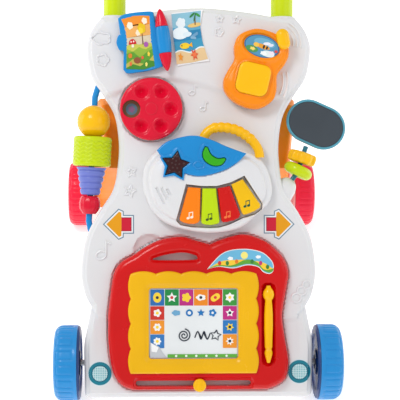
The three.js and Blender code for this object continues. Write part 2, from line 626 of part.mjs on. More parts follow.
function boardCase() {
  const outer = slab(boardOutline(), BOARD_FLOOR, BOARD_TOP, 4, 2);
  const inner = slab(inset(boardOutline(), WALL + 3), BOARD_FLOOR - 1, BOARD_TOP - WALL - 4);
  const tray = slab(inset(boardOutline(), WALL + 1.5), BOARD_FLOOR - 1, BOARD_FLOOR + WALL);
  const gripWall = slab(inset(handleHole(), -WALL), BOARD_FLOOR, BOARD_TOP - 1);
  const hollow = cut(inner, gripWall);
  const slot = slab(roundedBox(...SLOT_BOX, 3.5, 0, ...SLOT_AT), -30, 60);
  const groove = slab(roundedBox(17, 107, 8, 0, ...STYLUS_AT), STYLUS_W - STYLUS_R - 0.5, 60);
  const window = slab(windowOutline(-2), -30, 60);
  const grip = slab(handleHole(), -30, 60);
  const wallsLow = STYLUS_W - STYLUS_R - 3;
  const walls = slab(roundedBox(17 + 4, 107 + 4, 10, 0, ...STYLUS_AT), wallsLow, BOARD_TOP - 1);
  return cut(outer, cut(hollow, walls), cut(tray, gripWall), slot, groove, window, grip);
}

function boardBack() {
  const plate = slab(inset(boardOutline(), WALL + 1.5 + GAP), BOARD_FLOOR, BOARD_FLOOR + WALL - GAP);
  return cut(plate, slab(inset(handleHole(), -WALL - GAP), -30, 60));
}

function boardFrame() {
  const ring = slab(scallopOutline(), BOARD_TOP + GAP, BOARD_TOP + 4.5, 1.4, 2);
  return cut(ring, slab(windowOutline(), -30, 60));
}

const drawingScreen = () => slab(windowOutline(-2 - GAP), BOARD_TOP - 4, BOARD_TOP - 0.5);

function eraserSlider() {
  const knob = slab(roundedBox(17.5, 16, 4, 0, 0, SLOT_AT[1] - 1.5), BOARD_TOP + GAP, BOARD_TOP + 7, 2, 2);
  const stem = slab(roundedBox(10, SLOT_BOX[1] - 1.2, 2, 0, 0, SLOT_AT[1]), BOARD_TOP - 10, BOARD_TOP + 2);
  const wiper = boxSolid(10, 70, 2.4, 0, 52, BOARD_TOP - 9.8);
  return join(knob, stem, wiper);
}

function stylus() {
  const body = turned([[0, -STYLUS_HALF + 1], [1.2, -STYLUS_HALF], [2, -STYLUS_HALF + 3],
    [3.6, -STYLUS_HALF + 13], [5.2, -STYLUS_HALF + 15], [5.2, -STYLUS_HALF + 18], [4.2, -STYLUS_HALF + 20],
    [STYLUS_R, 5], [4.2, 30],
    [2.6, 35], [4.6, 37.5], [5.4, 41], [4.6, 45], [2.4, STYLUS_HALF - 2], [0, STYLUS_HALF]], 20);
  return along(body, [...STYLUS_AT, STYLUS_W + 1], [0, 1, 0]);
}

// ---- beads ----
const BEAD_RUN = 0.6;             // beads turn loosely on the rod
const beadBore = () => rod(BEAD_ROD_R + BEAD_RUN, -50, 50);
const bead = (v, profile, sides = 18) => along(cut(turned(profile, sides), beadBore()), beadAt(v), beadDir);

function ballProfile(r) {
  return Array.from({ length: 11 }, (_, i) => {
    const a = rad(-90 + (180 * i) / 10);
    return [i === 0 || i === 10 ? 0 : r * Math.cos(a), r * Math.sin(a)];
  });
}

// A short thick roller with a shallow dish in its top, under the ball.
const rollerProfile = () => [[0, -ROLLER_HALF], [22, -ROLLER_HALF], [25, -ROLLER_HALF + 3.5],
  [25, ROLLER_HALF - 3.5], [22, ROLLER_HALF], [12, ROLLER_HALF], [11, ROLLER_HALF - 4], [0, ROLLER_HALF - 4]];

const cupProfile = () => [[0, -12.3], [8.5, -12.3], [13.4, -5], [14, 2], [12.5, 8], [9.5, 11.5], [0, 11.5]];

function bellowsProfile() {
  const points = [[0, -18]];
  for (let i = 0; i <= 18; i += 1) {
    const t = i / 18;
    points.push([12.6 + 7 * t + 1.3 * Math.cos(4.5 * 2 * Math.PI * t + 0.5), -18 + 36 * t]);
  }
  return [...points, [0, 18]];
}

// ---- mirror spinner ----
const stalkPath = () => new THREE.CatmullRomCurve3(STALK.map(([x, y]) => new THREE.Vector3(x, y, BEAD_W)));
const STALK_R = 3.2;
const RING_BORE = 5.2;

function ring(at, direction, outer, half, lobes) {
  const profile = Array.from({ length: 10 }, (_, i) => {
    const a = (2 * Math.PI * i) / 10;
    const middle = (outer + RING_BORE) / 2;
    return [middle + ((outer - RING_BORE) / 2) * Math.cos(a), half * Math.sin(a)];
  });
  let body = turned([...profile, profile[0]], 22);
  for (let i = 0; i < lobes; i += 1) {
    const a = (2 * Math.PI * i) / lobes;
    const tip = 0.75 * half;
    const lobe = turned([[0, -tip], [3, -tip], [4.2, 0], [3, tip], [0, tip]], 8);
    body = body.add(lobe.translate([(outer - 2.5) * Math.cos(a), (outer - 2.5) * Math.sin(a), 0]));
  }
  return along(body, [...at, BEAD_W], direction);
}

const stalkDirection = (t) => stalkPath().getTangent(t).toArray();
const mirrorOutline = (grow = 0) => stadium(MIRROR_LONG + 2 * grow, MIRROR_SHORT + 2 * grow,
  MIRROR_TILT_DEG, ...MIRROR_AT);

function mirrorFrame() {
  const half = MIRROR_THICK / 2;
  const body = slab(mirrorOutline(), BEAD_W - half, BEAD_W + half, 1.5, 2);
  const seat = slab(mirrorOutline(-3.2), BEAD_W + half - 2, BEAD_W + half + 5);
  const neckLow = MIRROR_SHORT / 2 + MIRROR_NECK;
  const neckAt = [MIRROR_AT[0] - mirrorAxis[0] * neckLow, MIRROR_AT[1] - mirrorAxis[1] * neckLow, BEAD_W];
  const neck = along(rod(4, 0, 8), neckAt, mirrorAxis);
  return cut(join(body, neck), seat);
}

const mirrorPlate = () => slab(mirrorOutline(-3.2 - GAP), BEAD_W + MIRROR_THICK / 2 - 2 + 0.3,
  BEAD_W + MIRROR_THICK / 2 - 0.4);

// ---- assembly ----
add(panel, 'front_panel', frontPanel(), WHITE);
add(panel, 'back_cover', backCover(), WHITE);
add(panel, 'handle_bar', handleBar(), LIME);
add(walker, 'left_leg', leg(-1), ORANGE);
add(walker, 'right_leg', leg(1), ORANGE);

const axleReach = TRACK / 2 - 6;
add(panel, 'front_axle', alongX(rod(AXLE_R, -axleReach, axleReach, 16), 0, FRONT_AXLE_V, frontAxleW), STEEL);
for (const [word, side] of [['left', -1], ['right', 1]]) {
  const inner = LEG_X - LEG_THICK / 2 - 2;
  const ends = [side * inner, side * axleReach].sort((a, b) => a - b);
  const stub = alongX(rod(AXLE_R, ...ends), 0, WHEELBASE / 2, WHEEL_R);
  add(walker, `rear_${word}_axle`, stub, STEEL);
  addWheel(`front_${word}`, side, -WHEELBASE / 2, BLUE, NAVY, BLUE);
  addWheel(`rear_${word}`, side, WHEELBASE / 2, CRIMSON, PINK, CRIMSON);
}

add(panel, 'book_page', bookPage(), BLUE);
add(panel, 'page_picture', pagePicture(), PRINT);
add(panel, 'spindle_cap_top', spindleCap(1), CRIMSON);
add(panel, 'spindle_cap_bottom', spindleCap(-1), CRIMSON);
add(panel, 'hinge_pin', spindleRod(PIN_R, -32, 32, 16), STEEL);
add(panel, 'right_picture', cut(slab(rightPictureOutline(), GAP, 2.2), spindleRod(SPINDLE_R + 0.5, -60, 60),
  boxSolid(13, 100, 30, 0, 0, 0).rotate([0, 0, THREE.MathUtils.radToDeg(SPINDLE_TILT)])
    .translate(spindleAt(0, 0))), PRINT);

add(panel, 'phone_shell', phoneShell(), ORANGE);
add(panel, 'phone_button', phoneButton(0, PHONE_THICK - 7, PHONE_THICK + 4, 2), YELLOW);
add(panel, 'phone_antenna', slab(antennaOutline(), PHONE_THICK - 8 + GAP, PHONE_THICK + 5, 4, 2), YELLOW);

add(panel, 'dial', dialWheel(), CRIMSON);
add(panel, 'dial_picture', dialPicture(), PRINT);
add(panel, 'dial_pivot', dialPivot(), CRIMSON);

add(panel, 'piano_shell', pianoShell(), WHITE);
add(panel, 'piano_base', pianoBase(), WHITE);
add(panel, 'leaf_cover', leafCover(), BLUE);
add(panel, 'star_button', lightButton(starOutline()), MAROON);
add(panel, 'moon_button', lightButton(moonOutline()), GREEN);
add(panel, 'piano_handle', pianoHandle(), YELLOW);
for (const key of KEYS) {
  add(panel, key.name, slab(key.outline.map(vec2), KEY_TOP_W - KEY_THICK, KEY_TOP_W, 1.2, 1), key.colour);
}
const BOARD_LOW = PIANO_BASE + 4;
add(panel, 'circuit_board', slab(roundedBox(70, 26, 2, -6, 2, 306, 2), BOARD_LOW, BOARD_LOW + 1.6), GREEN);
add(panel, 'speaker', turned([[0, 4], [9, 4], [9, 9], [16, 13], [0, 13]], 24).translate([-46, 262, 0]), GREY);

add(panel, 'board_case', boardCase(), RED);
add(panel, 'board_back', boardBack(), RED);
add(panel, 'board_frame', boardFrame(), YELLOW);
add(panel, 'drawing_screen', drawingScreen(), PRINT);
add(panel, 'eraser_slider', eraserSlider(), YELLOW);
add(panel, 'stylus', stylus(), YELLOW);

add(panel, 'bead_rod', beadRod(BEAD_ROD_R, 16), BLUE);
add(panel, 'ball_bead', bead(BALL_V, ballProfile(BALL_R)), YELLOW);
add(panel, 'roller_bead', bead(BALL_V - BALL_R - ROLLER_HALF + 2, rollerProfile()), LIME);
add(panel, 'bellows_bead', bead(282, bellowsProfile()), PURPLE);
add(panel, 'cup_bead', bead(251.5, cupProfile()), CRIMSON);

add(panel, 'mirror_stalk', bar(stalkPath(), STALK_R, 10, 10), TEAL);
add(panel, 'donut_ring', ring(STALK[2], stalkDirection(0.5), 18.5, 6.5, 0), LIME);
add(panel, 'gear_ring', ring(STALK[3], stalkDirection(0.75), 16.5, 6.5, 9), YELLOW);
add(panel, 'mirror_frame', mirrorFrame(), TEAL);
add(panel, 'mirror_plate', mirrorPlate(), MIRROR);

// The origin is the middle of the base, on the floor.
root.updateMatrixWorld(true);
const extent = new THREE.Box3().setFromObject(root, true);
const middle = extent.getCenter(new THREE.Vector3());
walker.position.set(-middle.x, -middle.y, -extent.min.z);

export default root;
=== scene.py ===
import json
import math

import bmesh
import bpy
import numpy as np
from mathutils import Matrix, Vector
from mathutils.geometry import delaunay_2d_cdt


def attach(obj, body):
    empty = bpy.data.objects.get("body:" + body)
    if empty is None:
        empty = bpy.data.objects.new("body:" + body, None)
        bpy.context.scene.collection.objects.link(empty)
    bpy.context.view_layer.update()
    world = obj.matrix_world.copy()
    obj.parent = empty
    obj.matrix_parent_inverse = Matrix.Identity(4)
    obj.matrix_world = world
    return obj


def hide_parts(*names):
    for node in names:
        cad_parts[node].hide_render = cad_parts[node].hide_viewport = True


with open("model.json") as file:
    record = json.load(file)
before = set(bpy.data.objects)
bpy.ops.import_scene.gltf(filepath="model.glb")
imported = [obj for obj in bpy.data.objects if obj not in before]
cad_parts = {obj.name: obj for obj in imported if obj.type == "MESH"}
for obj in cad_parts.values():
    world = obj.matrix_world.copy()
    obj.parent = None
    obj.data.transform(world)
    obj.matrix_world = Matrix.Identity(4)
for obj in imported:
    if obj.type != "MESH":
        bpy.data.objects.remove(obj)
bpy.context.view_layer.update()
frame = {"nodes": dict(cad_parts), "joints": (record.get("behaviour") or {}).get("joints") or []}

MM = 0.001
JOINTS = {joint["name"]: joint for joint in frame["joints"]}

# ---------------------------------------------------------------- frames of reference
# Panel millimetres: x right, y up the panel, z out of its front face.
DIAL_AT = (-62.0, 375.0)
DIAL_JOINT_W = 7.0
OUT = Vector(JOINTS["dial_spin"]["axis"]).normalized()
RIGHT = Vector((1, 0, 0))
UP = OUT.cross(RIGHT)
PANEL_ORIGIN = Vector(JOINTS["dial_spin"]["pos_m"]) - MM * (
    DIAL_AT[0] * RIGHT + DIAL_AT[1] * UP + DIAL_JOINT_W * OUT)


def frame_of(x_axis, y_axis, z_axis, origin):
    """A matrix that takes millimetres along three axes to metres in the row frame."""
    matrix = Matrix.Identity(4)
    for column, axis in enumerate((x_axis, y_axis, z_axis)):
        for row in range(3):
            matrix[row][column] = axis[row] * MM
    for row in range(3):
        matrix[row][3] = origin[row]
    return matrix


PANEL = frame_of(RIGHT, UP, OUT, PANEL_ORIGIN)


def axis_frame(joint):
    """Millimetres with z along a joint's axis and zero at its position."""
    z_axis = Vector(JOINTS[joint]["axis"]).normalized()
    x_axis = OUT.cross(z_axis).normalized() if abs(z_axis.dot(OUT)) < 0.9 else RIGHT
    return frame_of(x_axis, z_axis.cross(x_axis), z_axis, Vector(JOINTS[joint]["pos_m"]))


# ---------------------------------------------------------------- outlines
def run(points, per=8):
    """An open smooth curve through points, both ends included."""
    p = np.array(points, float)
    padded = np.vstack([p[:1], p, p[-1:]])
    t = np.linspace(0, 1, per, endpoint=False)[:, None]
    parts = []
    for a, b, c, d in zip(padded, padded[1:], padded[2:], padded[3:]):
        parts.append(0.5 * (2 * b + (c - a) * t + (2 * a - 5 * b + 4 * c - d) * t ** 2
                            + (3 * b - a - 3 * c + d) * t ** 3))
    return np.vstack(parts + [p[-1:]])


def loop(points, per=8):
    """A closed smooth curve through points."""
    p = np.array(points, float)
    n = len(p)
    t = np.linspace(0, 1, per, endpoint=False)[:, None]
    parts = []
    for i in range(n):
        a, b, c, d = p[i - 1], p[i], p[(i + 1) % n], p[(i + 2) % n]
        parts.append(0.5 * (2 * b + (c - a) * t + (2 * a - 5 * b + 4 * c - d) * t ** 2
                            + (3 * b - a - 3 * c + d) * t ** 3))
    return np.vstack(parts)


def arc(cx, cy, rx, ry=None, start=0.0, end=360.0, count=48, turn=0.0):
    """Points on an ellipse's arc; the last point is left out when the arc closes."""
    full = abs(end - start) >= 359.9
    a = np.radians(np.linspace(start, end, count, endpoint=not full))
    x, y = rx * np.cos(a), (ry or rx) * np.sin(a)
    c, s = math.cos(math.radians(turn)), math.sin(math.radians(turn))
    return np.column_stack([cx + c * x - s * y, cy + s * x + c * y])


def rounded_box(cx, cy, width, height, corner, turn=0.0, per=8):
    parts = []
    for sx, sy, start in ((1, 1, 0), (-1, 1, 90), (-1, -1, 180), (1, -1, 270)):
        parts.append(arc(sx * (width / 2 - corner), sy * (height / 2 - corner), corner,
                         start=start, end=start + 90, count=per))
    p = np.vstack(parts)
    c, s = math.cos(math.radians(turn)), math.sin(math.radians(turn))
    return np.column_stack([cx + c * p[:, 0] - s * p[:, 1], cy + s * p[:, 0] + c * p[:, 1]])


def stadium(cx, cy, length, width, turn, per=24):
    half = (length - width) / 2
    p = np.vstack([arc(half, 0, width / 2, start=-90, end=90, count=per),
                   arc(-half, 0, width / 2, start=90, end=270, count=per)])
    c, s = math.cos(math.radians(turn)), math.sin(math.radians(turn))
    return np.column_stack([cx + c * p[:, 0] - s * p[:, 1], cy + s * p[:, 0] + c * p[:, 1]])


def star(cx, cy, outer, inner, turn=90.0, tips=5):
    a = np.radians(turn + np.arange(2 * tips) * 180.0 / tips)
    r = np.where(np.arange(2 * tips) % 2, inner, outer)
    return np.column_stack([cx + r * np.cos(a), cy + r * np.sin(a)])


def anticlockwise(p):
    x, y = p[:, 0], p[:, 1]
    area = np.sum(x * np.roll(y, -1) - np.roll(x, -1) * y)
    return p if area > 0 else p[::-1]


def inset(p, d):
    """An outline moved inwards by d, or outwards when d is negative."""
    p = anticlockwise(np.array(p, float))
    a = p - np.roll(p, 1, axis=0)
    b = np.roll(p, -1, axis=0) - p
    a /= np.maximum(np.linalg.norm(a, axis=1), 1e-9)[:, None]
    b /= np.maximum(np.linalg.norm(b, axis=1), 1e-9)[:, None]
    normal = np.column_stack([-(a[:, 1] + b[:, 1]), a[:, 0] + b[:, 0]])
    normal /= np.maximum(np.linalg.norm(normal, axis=1), 1e-9)[:, None]
    cosine = np.maximum(0.6, -normal[:, 0] * b[:, 1] + normal[:, 1] * b[:, 0])
    return p + normal * (d / cosine)[:, None]


def resample(p, step, closed=True):
    """Even points along an outline, its sharp corners kept."""
    ends = np.roll(p, -1, axis=0) if closed else p[1:]
    parts = []
    for a, b in zip(p, ends):
        count = max(1, int(math.ceil(np.linalg.norm(b - a) / step)))
        parts.append(a + (b - a) * np.linspace(0, 1, count, endpoint=False)[:, None])
    return np.vstack(parts if closed else parts + [p[-1:]])


def distance_to(points, line, closed=True):
    """Distance from each point to a polyline."""
    a = line if closed else line[:-1]
    b = np.roll(line, -1, axis=0) if closed else line[1:]
    d = b - a
    length2 = np.maximum((d ** 2).sum(1), 1e-12)
    best = np.empty(len(points))
    for i in range(0, len(points), 4000):
        q = points[i:i + 4000, None, :] - a[None]
        t = np.clip((q * d[None]).sum(2) / length2[None], 0, 1)
        best[i:i + 4000] = np.sqrt(((q - t[:, :, None] * d[None]) ** 2).sum(2).min(1))
    return best


def inside(points, outline):
    x, y = outline[:, 0], outline[:, 1]
    x2, y2 = np.roll(x, -1), np.roll(y, -1)
    result = np.zeros(len(points), bool)
    slope = (x2 - x) / np.where(y2 == y, 1e-12, y2 - y)
    for i in range(0, len(points), 8000):
        px, py = points[i:i + 8000, 0][:, None], points[i:i + 8000, 1][:, None]
        cross = ((y > py) != (y2 > py)) & (px < slope * (py - y) + x)
        result[i:i + 8000] = cross.sum(1) % 2 == 1
    return result


def smooth(t):
    t = np.clip(t, 0, 1)
    return t * t * (3 - 2 * t)


# ---------------------------------------------------------------- mesh makers
def hump(t, width):
    """A bell of height 1 round t = 0."""
    return np.exp(-(t / width) ** 2)


def depth_in(p, outline):
    """Distance to an outline, positive inside it and negative outside."""
    return distance_to(p, outline) * np.where(inside(p, outline), 1, -1)


def mesh_piece(name, verts, faces, matrix, body, materials, replaced=(), face_slots=None, sharp=38):
    """One visible piece from millimetre points, riding on a body."""
    mesh = bpy.data.meshes.new(name)
    v = np.array(verts, float)
    m = np.array(matrix)
    v = v @ m[:3, :3].T + m[:3, 3]
    mesh.from_pydata(v.tolist(), [], [tuple(int(i) for i in f) for f in faces])
    for material in materials if isinstance(materials, (list, tuple)) else [materials]:
        mesh.materials.append(material)
    if face_slots is not None:
        mesh.polygons.foreach_set("material_index", np.array(face_slots, np.int32))
    mesh.validate()
    outward = bmesh.new()
    outward.from_mesh(mesh)
    bmesh.ops.recalc_face_normals(outward, faces=outward.faces)
    outward.to_mesh(mesh)
    outward.free()
    mesh.shade_smooth()
    mesh.set_sharp_from_angle(angle=math.radians(sharp))
    mesh.update()
    piece = bpy.data.objects.new(name, mesh)
    bpy.context.scene.collection.objects.link(piece)
    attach(piece, body)
    if replaced:
        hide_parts(*replaced)
    return piece


def merge(parts):
    """Joins (verts, faces) pairs into one pair."""
    verts, faces, base = [], [], 0
    for v, f in parts:
        verts.append(np.array(v, float))
        faces += [tuple(i + base for i in face) for face in f]
        base += len(v)
    return np.vstack(verts), faces


ROUND_STEPS = (0.0, 0.04, 0.12, 0.25, 0.42, 0.62, 0.82, 1.0)


def rounded(d, radius):
    """How far the surface drops at distance d inside a rounded edge."""
    t = np.clip(radius - d, 0, radius)
    return -(radius - np.sqrt(np.maximum(radius ** 2 - t ** 2, 0)))


def relief(outline, top, bottom, radius=2.0, holes=(), spacing=3.0, edge_step=1.5, hole_radius=None,
           extra=()):
    """A closed solid: a raised top surface over an outline, straight walls and a flat underside.
    top(points, d) gives the height; d is the distance to the nearest edge."""
    outer = resample(anticlockwise(np.array(outline, float)), edge_step)
    inner = [resample(anticlockwise(np.array(h, float)), edge_step)[::-1] for h in holes]
    loops = [outer] + inner
    hole_radius = radius if hole_radius is None else hole_radius
    points = list(loops)
    for i, ring in enumerate(loops):
        r = radius if i == 0 else hole_radius
        for share in ROUND_STEPS[1:]:
            moved = inset(ring, share * r) if i == 0 else inset(ring, -share * r)
            points.append(moved)
    low, high = outer.min(0), outer.max(0)
    gx, gy = np.meshgrid(np.arange(low[0], high[0], spacing), np.arange(low[1], high[1], spacing))
    gx[1::2] += spacing / 2
    points.append(np.column_stack([gx.ravel(), gy.ravel()]))
    points += [np.array(e, float) for e in extra]
    fixed = sum(len(l) for l in loops)
    everything = np.vstack(points)
    free = everything[fixed:]
    keep = inside(free, outer)
    for ring in inner:
        keep &= ~inside(free, ring)
    free = free[keep]
    gap = np.min([distance_to(free, l) for l in loops], axis=0)
    free = free[gap > 0.03 * max(radius, 0.2)]
    flat = np.vstack([np.vstack(loops), free])
    edges, base = [], 0
    for l in loops:
        n = len(l)
        edges += [(base + i, base + (i + 1) % n) for i in range(n)]
        base += n
    verts2, _, tris, source, _, _ = delaunay_2d_cdt([Vector(p) for p in flat], edges, [], 0, 1e-5)
    flat = np.array([(v.x, v.y) for v in verts2])
    tris = np.array(tris)
    middle = flat[tris].mean(1)
    keep = inside(middle, outer)
    for ring in inner:
        keep &= ~inside(middle, ring)
    tris = tris[keep]
    d = np.min([distance_to(flat, l) for l in loops], axis=0)
    z = top(flat, d)
    used = np.zeros(len(flat), bool)
    used[tris.ravel()] = True
    index = np.cumsum(used) - 1
    flat, z, tris = flat[used], z[used], index[tris]
    order = {}
    for i, source_list in enumerate(source):
        for s in source_list:
            order[s] = i
    verts = [np.column_stack([flat, z])]
    faces = [tuple(t) for t in tris]
    count = len(flat)
    base = 0
    low_loops, low_edges = [], []
    for l in loops:
        n = len(l)
        ids = [int(index[order[base + i]]) for i in range(n)]
        base += n
        verts.append(np.column_stack([flat[ids], np.full(n, float(bottom))]))
        for i in range(n):
            j = (i + 1) % n
            faces.append((ids[j], ids[i], count + i, count + j))
        low_loops.append(np.arange(count, count + n))
        count += n
    verts = np.vstack(verts)
    low_points = np.concatenate(low_loops)
    start = 0
    for l in loops:
        low_edges += [(start + i, start + (i + 1) % len(l)) for i in range(len(l))]
        start += len(l)
    under, _, under_tris, under_source, _, _ = delaunay_2d_cdt(
        [Vector(verts[i][:2]) for i in low_points], low_edges, [], 0, 1e-5)
    under_flat = np.array([(v.x, v.y) for v in under])
    under_tris = np.array(under_tris)
    middle = under_flat[under_tris].mean(1)
    keep = inside(middle, outer)
    for ring in inner:
        keep &= ~inside(middle, ring)
    ids = [int(low_points[s[0]]) if s else -1 for s in under_source]
    added = [i for i, known in enumerate(ids) if known < 0]
    for i in added:
        ids[i] = count
        count += 1
    if added:
        verts = np.vstack([verts, np.column_stack([under_flat[added], np.full(len(added), float(bottom))])])
    faces += [tuple(ids[i] for i in tri[::-1]) for tri in under_tris[keep]]
    return verts, faces


def plate(outline, low, high, radius=0.6, holes=(), spacing=8.0, edge_step=1.5, crown=0.0, reach=20.0):
    """A flat or gently crowned plate with rounded upper edges."""
    def top(p, d):
        return high + rounded(d, radius) + crown * (smooth(d / reach) - 1)
    return relief(outline, top, low, radius, holes, spacing, edge_step)


def revolve(profile, count=64, radial=None):
    """A turned body about z from [radius, height] points; radial(angle, height) scales the radius."""
    p = np.array(profile, float)
    angles = np.linspace(0, 2 * math.pi, count, endpoint=False)
    verts, rows = [], []
    for r, h in p:
        if r < 1e-6:
            rows.append([len(verts)])
            verts.append((0, 0, h))
            continue
        row = []
        for a in angles:
            k = r * (radial(a, h) if radial else 1.0)
            row.append(len(verts))
            verts.append((k * math.cos(a), k * math.sin(a), h))
        rows.append(row)
    faces = []
    for low, high in zip(rows, rows[1:]):
        for i in range(count):
            j = (i + 1) % count
            if len(low) == 1 and len(high) == 1:
                continue
            if len(low) == 1:
                faces.append((low[0], high[j], high[i]))
            elif len(high) == 1:
                faces.append((low[i], low[j], high[0]))
            else:
                faces.append((low[i], low[j], high[j], high[i]))
    return np.array(verts), faces


def sweep(path, radius, sides=24):
    """A round bar along a path; radius is one number or one for each point."""
    p = np.array(path, float)
    n = len(p)
    radii = np.full(n, radius, float) if np.isscalar(radius) else np.array(radius, float)
    tangent = np.gradient(p, axis=0)
    tangent /= np.linalg.norm(tangent, axis=1)[:, None]
    helper = np.array([0.0, 0.0, 1.0]) if abs(tangent[0][2]) < 0.9 else np.array([1.0, 0.0, 0.0])
    verts, faces = [], []
    side = np.cross(tangent[0], helper)
    side /= np.linalg.norm(side)
    angles = np.linspace(0, 2 * math.pi, sides, endpoint=False)
    for i in range(n):
        side = side - tangent[i] * side.dot(tangent[i])
        side /= np.linalg.norm(side)
        other = np.cross(tangent[i], side)
        for a in angles:
            verts.append(p[i] + radii[i] * (math.cos(a) * side + math.sin(a) * other))
    for i in range(n - 1):
        for k in range(sides):
            j = (k + 1) % sides
            faces.append((i * sides + k, i * sides + j, (i + 1) * sides + j, (i + 1) * sides + k))
    first, last = len(verts), len(verts) + 1
    verts += [p[0], p[-1]]
    for k in range(sides):
        j = (k + 1) % sides
        faces.append((first, j, k))
        faces.append((last, (n - 1) * sides + k, (n - 1) * sides + j))
    return np.array(verts), faces


def ridge(line, z, r=0.8, closed=True, step=2.0):
    """A fine raised moulding line on a face."""
    p = resample(np.array(line, float), step, closed)
    if closed:
        p = np.vstack([p, p[:1]])
    return sweep(np.column_stack([p, np.full(len(p), z)]), r, sides=8)


# ---------------------------------------------------------------- materials
def srgb(r, g, b):
    def line(c):
        c /= 255.0
        return c / 12.92 if c <= 0.04045 else ((c + 0.055) / 1.055) ** 2.4
    return (line(r), line(g), line(b), 1.0)


def shade(colour, k):
    return tuple(min(1.0, c * k) for c in colour[:3]) + (1.0,)


def moulded(name, colour, roughness=0.24, grain=0.02, grain_scale=900.0, tint=0.05, coat=0.12, wear=0.2,
            subsurface=0.0, metallic=0.0):
    """Moulded plastic: soft colour drift, uneven gloss, faint orange peel and paler rubbed edges."""
    material = bpy.data.materials.new(name)
    material.use_nodes = True
    nodes, links = material.node_tree.nodes, material.node_tree.links
    shader = nodes["Principled BSDF"]
    place = nodes.new("ShaderNodeTexCoord")
    drift = nodes.new("ShaderNodeTexNoise")
    drift.inputs["Scale"].default_value = 14.0
    drift.inputs["Detail"].default_value = 3.0
    links.new(place.outputs["Object"], drift.inputs["Vector"])
    ramp = nodes.new("ShaderNodeValToRGB")
    ramp.color_ramp.elements[0].position = 0.3
    ramp.color_ramp.elements[1].position = 0.7
    ramp.color_ramp.elements[0].color = shade(colour, 1 - tint)
    ramp.color_ramp.elements[1].color = shade(colour, 1 + tint)
    links.new(drift.outputs["Fac"], ramp.inputs["Fac"])
    geometry = nodes.new("ShaderNodeNewGeometry")
    edge = nodes.new("ShaderNodeMapRange")
    edge.inputs["From Min"].default_value = 0.53
    edge.inputs["From Max"].default_value = 0.62
    edge.inputs["To Max"].default_value = wear
    links.new(geometry.outputs["Pointiness"], edge.inputs["Value"])
    rub = nodes.new("ShaderNodeMix")
    rub.data_type = "RGBA"
    pale = tuple(c + (1 - c) * 0.2 for c in colour[:3]) + (1.0,)
    rub.inputs["B"].default_value = pale
    links.new(ramp.outputs["Color"], rub.inputs["A"])
    links.new(edge.outputs["Result"], rub.inputs["Factor"])
    links.new(rub.outputs["Result"], shader.inputs["Base Color"])
    smear = nodes.new("ShaderNodeTexNoise")
    smear.inputs["Scale"].default_value = 55.0
    smear.inputs["Detail"].default_value = 5.0
    links.new(place.outputs["Object"], smear.inputs["Vector"])
    gloss = nodes.new("ShaderNodeMapRange")
    gloss.inputs["To Min"].default_value = roughness * 0.75
    gloss.inputs["To Max"].default_value = roughness * 1.35
    links.new(smear.outputs["Fac"], gloss.inputs["Value"])
    links.new(gloss.outputs["Result"], shader.inputs["Roughness"])
    peel = nodes.new("ShaderNodeTexNoise")
    peel.inputs["Scale"].default_value = grain_scale
    peel.inputs["Detail"].default_value = 2.0
    links.new(place.outputs["Object"], peel.inputs["Vector"])
    bump = nodes.new("ShaderNodeBump")
    bump.inputs["Strength"].default_value = grain
    bump.inputs["Distance"].default_value = 0.0004
    links.new(peel.outputs["Fac"], bump.inputs["Height"])
    links.new(bump.outputs["Normal"], shader.inputs["Normal"])
    shader.inputs["Coat Weight"].default_value = coat
    shader.inputs["Coat Roughness"].default_value = 0.08
    shader.inputs["Specular IOR Level"].default_value = 0.28
    shader.inputs["Metallic"].default_value = metallic
    if subsurface:
        shader.inputs["Subsurface Weight"].default_value = subsurface
        shader.inputs["Subsurface Radius"].default_value = (0.004, 0.003, 0.002)
    return material


WHITE = moulded("white_plastic", srgb(226, 226, 228), roughness=0.3, tint=0.015, wear=0.1, subsurface=0.06)
WHITE_MATT = moulded("white_textured_plastic", srgb(218, 218, 220), roughness=0.5, grain=0.25, tint=0.02,
                     coat=0.0)
LIME = moulded("lime_plastic", srgb(200, 220, 0))
CRIMSON = moulded("crimson_plastic", srgb(222, 8, 48), tint=0.04)
ORANGE = moulded("orange_plastic", srgb(252, 142, 2))
LEG_ORANGE = moulded("leg_plastic", srgb(250, 138, 4), roughness=0.5, coat=0.0)
YELLOW = moulded("yellow_plastic", srgb(252, 190, 0))
FRAME_YELLOW = moulded("frame_yellow_plastic", srgb(240, 182, 0))
BLUE = moulded("blue_plastic", srgb(22, 138, 208))
WHEEL_BLUE = moulded("wheel_blue_plastic", srgb(34, 142, 212), roughness=0.32, grain=0.06)
RED = moulded("red_plastic", srgb(208, 6, 8))
WHEEL_RED = moulded("wheel_red_plastic", srgb(244, 26, 64), roughness=0.32, grain=0.06)
TEAL = moulded("teal_plastic", srgb(44, 120, 142))
PURPLE = moulded("purple_rubbery_plastic", srgb(112, 124, 204), roughness=0.34)
PINK = moulded("pink_plastic", srgb(246, 170, 176), roughness=0.4)
NAVY = moulded("navy_plastic", srgb(14, 56, 118), roughness=0.4)
GREEN = moulded("green_plastic", srgb(52, 172, 20))
MAROON = moulded("maroon_translucent_plastic", srgb(52, 2, 6), roughness=0.1, coat=0.3)
GREY = moulded("grey_plastic", srgb(74, 76, 80), roughness=0.5)
STEEL = moulded("axle_steel", srgb(186, 188, 192), roughness=0.28, grain=0.08, coat=0.0, metallic=1.0)
SCREEN_GREY = moulded("screen_film", srgb(206, 208, 210), roughness=0.34, grain=0.04, grain_scale=1500.0,
                      tint=0.03)
MIRROR_BLUE = moulded("mirror_frame_plastic", srgb(86, 160, 182), roughness=0.3)
MIRROR = moulded("mirror_sheet", srgb(84, 92, 100), roughness=0.09, grain=0.01, tint=0.08, coat=0.3,
                 metallic=0.8)

INKS = {}


